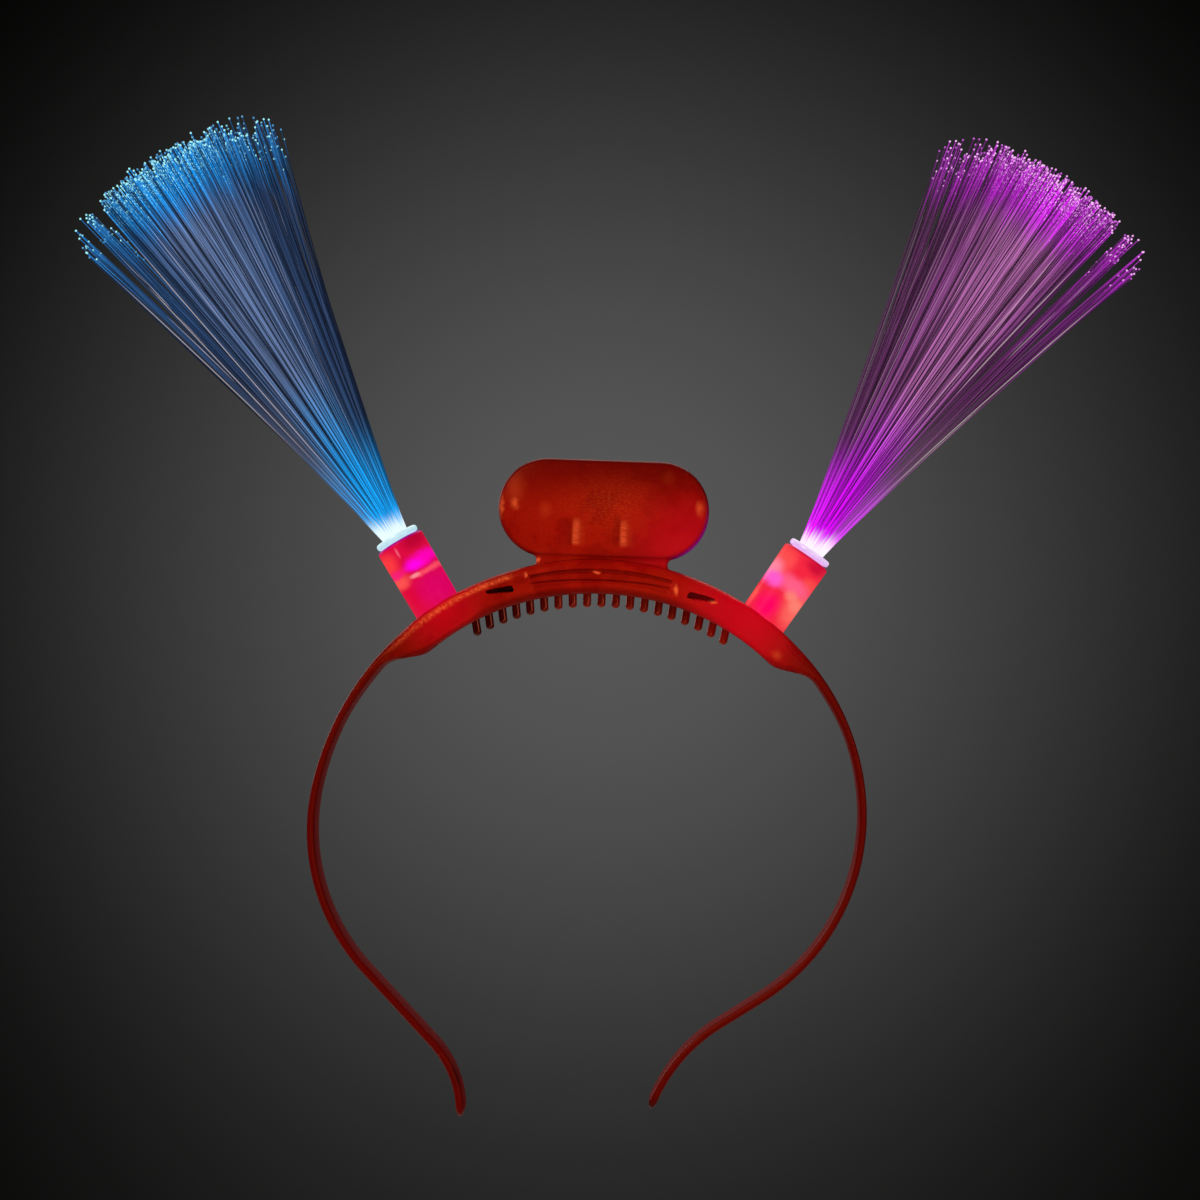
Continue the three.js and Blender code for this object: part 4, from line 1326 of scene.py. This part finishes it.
def strand_tree():
    """Geometry nodes that fan out a plume's strands from their root, each with a bead at its end."""
    graph = Graph(bpy.data.node_groups.new("plume_strands", "GeometryNodeTree"))
    (count, root_radius, spread, gathering, flaring, longest, shortening, raggedness, scatter, bow, radius,
     bead_radius, part_from, part_step, part_width, mirror, lean, foot, seed, finish) = graph.sockets(
        {"Strands": 400, "Root Radius": 0.0035, "Spread": 0.25, "Gathering": 0.5, "Flare": 1.0,
         "Length": 0.11, "Inner Shortening": 0.02, "Ragged": 0.04, "Scatter": 0.05, "Bow": 0.001,
         "Strand Radius": 0.0002, "Bead Radius": 0.0003, "Parting Place": -0.66, "Parting Step": 0.2,
         "Parting Width": 0.09, "Mirror": 1.0, "Lean": 0.0, "Foot": "Vector", "Seed": 1,
         "Finish": "Material"},
        {"Plume": "Geometry"}).values()

    def chance(low, high, step):
        return graph.add("FunctionNodeRandomValue", {2: low, 3: high, "Seed": seed + float(step)}, 1,
                         data_type="FLOAT")

    def stored(geometry, name, value, kind="FLOAT"):
        return graph.add("GeometryNodeStoreNamedAttribute",
                         {"Geometry": geometry, "Name": name, "Value": value}, data_type=kind)

    def recalled(name):
        return graph.add("GeometryNodeInputNamedAttribute", {"Name": name}, data_type="FLOAT_VECTOR")

    index = graph.add("GeometryNodeInputIndex")
    filled = (index + 0.5) / count
    out = filled ** gathering
    around = index * GOLDEN_ANGLE
    cosine, sine = graph.math("COSINE", around), graph.math("SINE", around)
    across = chance(-1.0, 1.0, 0) * scatter + out * cosine
    depth = chance(-1.0, 1.0, 1) * scatter + out * sine
    half_part = part_width * 0.5
    parted = graph.math("COMPARE", across, part_from, half_part)
    parted = parted + graph.math("COMPARE", across, part_from - part_step, half_part)
    fanned = parted * part_width + across
    packed = graph.math("SQRT", filled) * root_radius
    root = graph.vector("SCALE", graph.place(cosine * mirror, sine), scale=packed)
    sideways = graph.place(fanned * mirror * spread, depth * spread)
    way = graph.vector("ADD", sideways, (0.0, 0.0, 1.0))
    core = graph.ease(out, 0.95, 0.55)
    beyond = graph.math("LESS_THAN", across, part_from) + graph.ease(across, 0.4, 0.7)
    ragged = (1.0 - core * 0.6) * raggedness * (beyond + 1.0)
    loss = chance(0.0, 1.0, 2) * ragged
    loss = graph.ease(across, 0.3, 0.9) * shortening + loss
    size = longest * (1.0 - loss)
    fan = graph.vector("SCALE", sideways, scale=size / graph.vector("LENGTH", way))

    points = graph.add("GeometryNodePoints", {"Count": count, "Position": root})
    points = stored(points, "outwards", out)
    points = stored(points, "across", across)
    points = stored(points, "strand", chance(0.0, 1.0, 3))
    points = stored(points, "fan", fan, "FLOAT_VECTOR")
    sway = graph.place(chance(-1.0, 1.0, 4), chance(-1.0, 1.0, 5))
    points = stored(points, "sway", sway, "FLOAT_VECTOR")
    turn = graph.add("FunctionNodeAlignRotationToVector", {"Vector": way}, axis="Z")
    strands = graph.realized(graph.add("GeometryNodeInstanceOnPoints", {
        "Points": points, "Instance": graph.line((0.0, 0.0, 1.0), STRAND_POINTS), "Rotation": turn,
        "Scale": size}))
    reach = graph.add("GeometryNodeSplineParameter", output="Factor")
    strands = stored(strands, "reach", reach)
    bend = reach * (1.0 - reach) * 4.0
    swayed = graph.vector("SCALE", recalled("sway"), scale=bend * bow)
    flared = graph.vector("SCALE", recalled("fan"), scale=reach ** flaring - reach)
    shift = graph.vector("ADD", swayed, flared)
    strands = graph.add("GeometryNodeSetPosition", {"Geometry": strands, "Offset": shift})

    ends = graph.add("GeometryNodeCurveEndpointSelection", {"Start Size": 0, "End Size": 1})
    ball = graph.add("GeometryNodeMeshIcoSphere", {"Radius": bead_radius, "Subdivisions": 1})
    beads = graph.realized(graph.add("GeometryNodeInstanceOnPoints", {
        "Points": strands, "Selection": ends, "Instance": ball}))
    plume = graph.joined(graph.tube(strands, radius, STRAND_SIDES), stored(beads, "reach", BEAD_REACH))
    plume = graph.add("GeometryNodeTransform", {
        "Geometry": plume, "Translation": foot, "Rotation": graph.place(y=lean)})
    plume = graph.add("GeometryNodeSetShadeSmooth", {"Geometry": plume})
    graph.feed(graph.result, {"Plume": graph.dressed(plume, finish)})
    return graph.tree


class HEADBAND_OT_plumes(Operator):
    """Build the two plumes of glowing fibers"""

    bl_idname = "headband.plumes"
    bl_label = "Fiber plumes"

    def execute(self, context):
        plume, stalk = context.scene.headband_plume, context.scene.headband_stalk
        tree = strand_tree()
        for side, (sign, extra_lean, shortened) in SIDES.items():
            mesh = bpy.data.meshes.new(f"plume_strands_{side}")
            obj = new_object(mesh.name, mesh)
            foot = stalk_matrix(side) @ Vector((0.0, 0.0, collar_top() - plume.root_sunk))
            finish = glowing_fiber(side)
            grow(obj, tree, {
                "Strands": plume.strands, "Root Radius": plume.root_radius, "Spread": plume.spread,
                "Gathering": plume.gather, "Flare": plume.flare, "Length": plume.length,
                "Inner Shortening": plume.inner_short * shortened, "Ragged": plume.ragged,
                "Scatter": plume.scatter, "Bow": plume.bow, "Strand Radius": plume.radius,
                "Bead Radius": plume.bead, "Parting Place": plume.part_from,
                "Parting Step": plume.part_step, "Parting Width": plume.part_wide,
                "Mirror": float(-sign), "Lean": sign * (stalk.lean + math.radians(extra_lean)), "Foot": foot,
                "Seed": plume.seed, "Finish": finish})
            slot = "fiber_blue" if side == "left" else "fiber_violet"
            finish_piece(obj, finish, slot, f"fiber_plume_{side}")
        return {"FINISHED"}


# Stage

def sweep():
    """Light-grey floor that rises in a cove to a grey wall; the wall's grey is a painted pool of light that
    fades towards its edges.
    """
    floor, front, cove_from, radius, wall_top, half_width = -0.5, -3.2, 1.1, 0.5, 2.6, 3.2
    rows = [(front, floor), (cove_from, floor)]
    for i in range(1, SWEEP_STEPS + 1):
        around = i / SWEEP_STEPS * math.pi / 2
        rows.append((cove_from + radius * math.sin(around), floor + radius * (1 - math.cos(around))))
    rows.append((cove_from + radius, wall_top))
    points = [Vector((x, y, z)) for y, z in rows for x in (-half_width, half_width)]
    faces = [(2 * i, 2 * i + 1, 2 * i + 3, 2 * i + 2) for i in range(len(rows) - 1)]
    mesh = bpy.data.meshes.new("studio_sweep")
    mesh.from_pydata([tuple(point) for point in points], [], faces)
    mesh.polygons.foreach_set("use_smooth", [True] * len(faces))
    obj = new_object("studio_sweep", mesh)
    material, graph, place = new_material("studio_paper")
    x, _, z = graph.split(place)
    upright = graph.ease(z, floor + 0.005, floor + 0.05)
    # Painted pool of light on the wall, fading from its middle
    lit = graph.ease(graph.hypot(x + 0.05, z - 0.04), 0.8, 0.0) ** 1.7
    graph.shade({
        "Base Color": graph.mix(upright, (0.72, 0.72, 0.71), (0.004, 0.004, 0.004)),
        "Emission Color": graph.mix(lit * upright, BLACK, (0.095, 0.095, 0.095)),
        "Emission Strength": 1.0, "Roughness": 0.9, "Specular IOR Level": 0.1})
    mesh.materials.append(material)


def soft_light(name, place, size, power, tint):
    """A square area light that faces the middle."""
    data = bpy.data.lights.new(name, "AREA")
    data.shape = "SQUARE"
    data.size = size
    data.energy = power
    data.color = tint
    obj = new_object(name, data)
    obj.location = place
    obj.rotation_euler = (-Vector(place)).to_track_quat("-Z", "Y").to_euler()
    obj.visible_camera = False


def photo_camera():
    """Camera at the photograph's angle, with its small roll."""
    target = Vector((-0.2, 0.0, 1.9)) * MM
    distance, yaw, rise, roll = 0.7, math.radians(1.8), math.radians(-0.5), math.radians(2.1)
    back = Vector((math.sin(yaw) * math.cos(rise), -math.cos(yaw) * math.cos(rise), math.sin(rise)))
    data = bpy.data.cameras.new("photo_camera")
    data.sensor_width = 36.0
    data.lens = 83.5
    data.clip_start = 0.01
    camera = new_object("photo_camera", data)
    camera.location = target + back * distance
    facing = (-back).to_track_quat("-Z", "Y").to_matrix() @ Matrix.Rotation(roll, 3, "Z")
    camera.rotation_euler = facing.to_euler()
    bpy.context.scene.camera = camera


class HEADBAND_OT_stage(Operator):
    """Set up the floor, the soft lights and the camera"""

    bl_idname = "headband.stage"
    bl_label = "Studio"

    def execute(self, context):
        sweep()
        photo_camera()
        for name, settings in LIGHTS.items():
            soft_light(name, *settings)
        world = bpy.data.worlds.new("studio_air")
        world.use_nodes = True
        air = world.node_tree.nodes["Background"].inputs
        air["Color"].default_value = (0.5, 0.5, 0.5, 1.0)
        air["Strength"].default_value = 0.08
        context.scene.world = world
        context.scene.view_settings.view_transform = "Standard"
        return {"FINISHED"}


class HEADBAND_PT_build(Panel):
    """Builds the headband piece by piece"""

    bl_label = "Fiber optic headband"
    bl_idname = "HEADBAND_PT_build"
    bl_space_type = "VIEW_3D"
    bl_region_type = "UI"
    bl_category = "Headband"

    def draw(self, context):
        column = self.layout.column()
        for step in BUILD_STEPS:
            column.operator(step.bl_idname)
        for name in SETTINGS:
            group = getattr(context.scene, name)
            box = self.layout.box()
            box.label(text=group.bl_rna.description)
            for field in group.__annotations__:
                box.prop(group, field)


BUILD_STEPS = (HEADBAND_OT_band, HEADBAND_OT_comb, HEADBAND_OT_pod, HEADBAND_OT_stalks,
               HEADBAND_OT_plumes, HEADBAND_OT_stage)
SETTINGS = {
    "headband_band": BandSizes, "headband_comb": CombSizes, "headband_pod": PodSizes,
    "headband_stalk": StalkSizes, "headband_plume": PlumeSizes, "headband_plastic": PlasticColours,
    "headband_glow": GlowColours,
}


def register():
    for group in SETTINGS.values():
        bpy.utils.register_class(group)
    for name, group in SETTINGS.items():
        setattr(bpy.types.Scene, name, PointerProperty(type=group))
    for step in (*BUILD_STEPS, HEADBAND_PT_build):
        bpy.utils.register_class(step)


def unregister():
    for step in (HEADBAND_PT_build, *reversed(BUILD_STEPS)):
        bpy.utils.unregister_class(step)
    for name in SETTINGS:
        delattr(bpy.types.Scene, name)
    for group in reversed(SETTINGS.values()):
        bpy.utils.unregister_class(group)


def main():
    """Build everything in order."""
    register()
    bpy.ops.headband.band()
    bpy.ops.headband.comb()
    bpy.ops.headband.pod()
    bpy.ops.headband.stalks()
    bpy.ops.headband.plumes()
    bpy.ops.headband.stage()


if __name__ == "__main__":
    main()
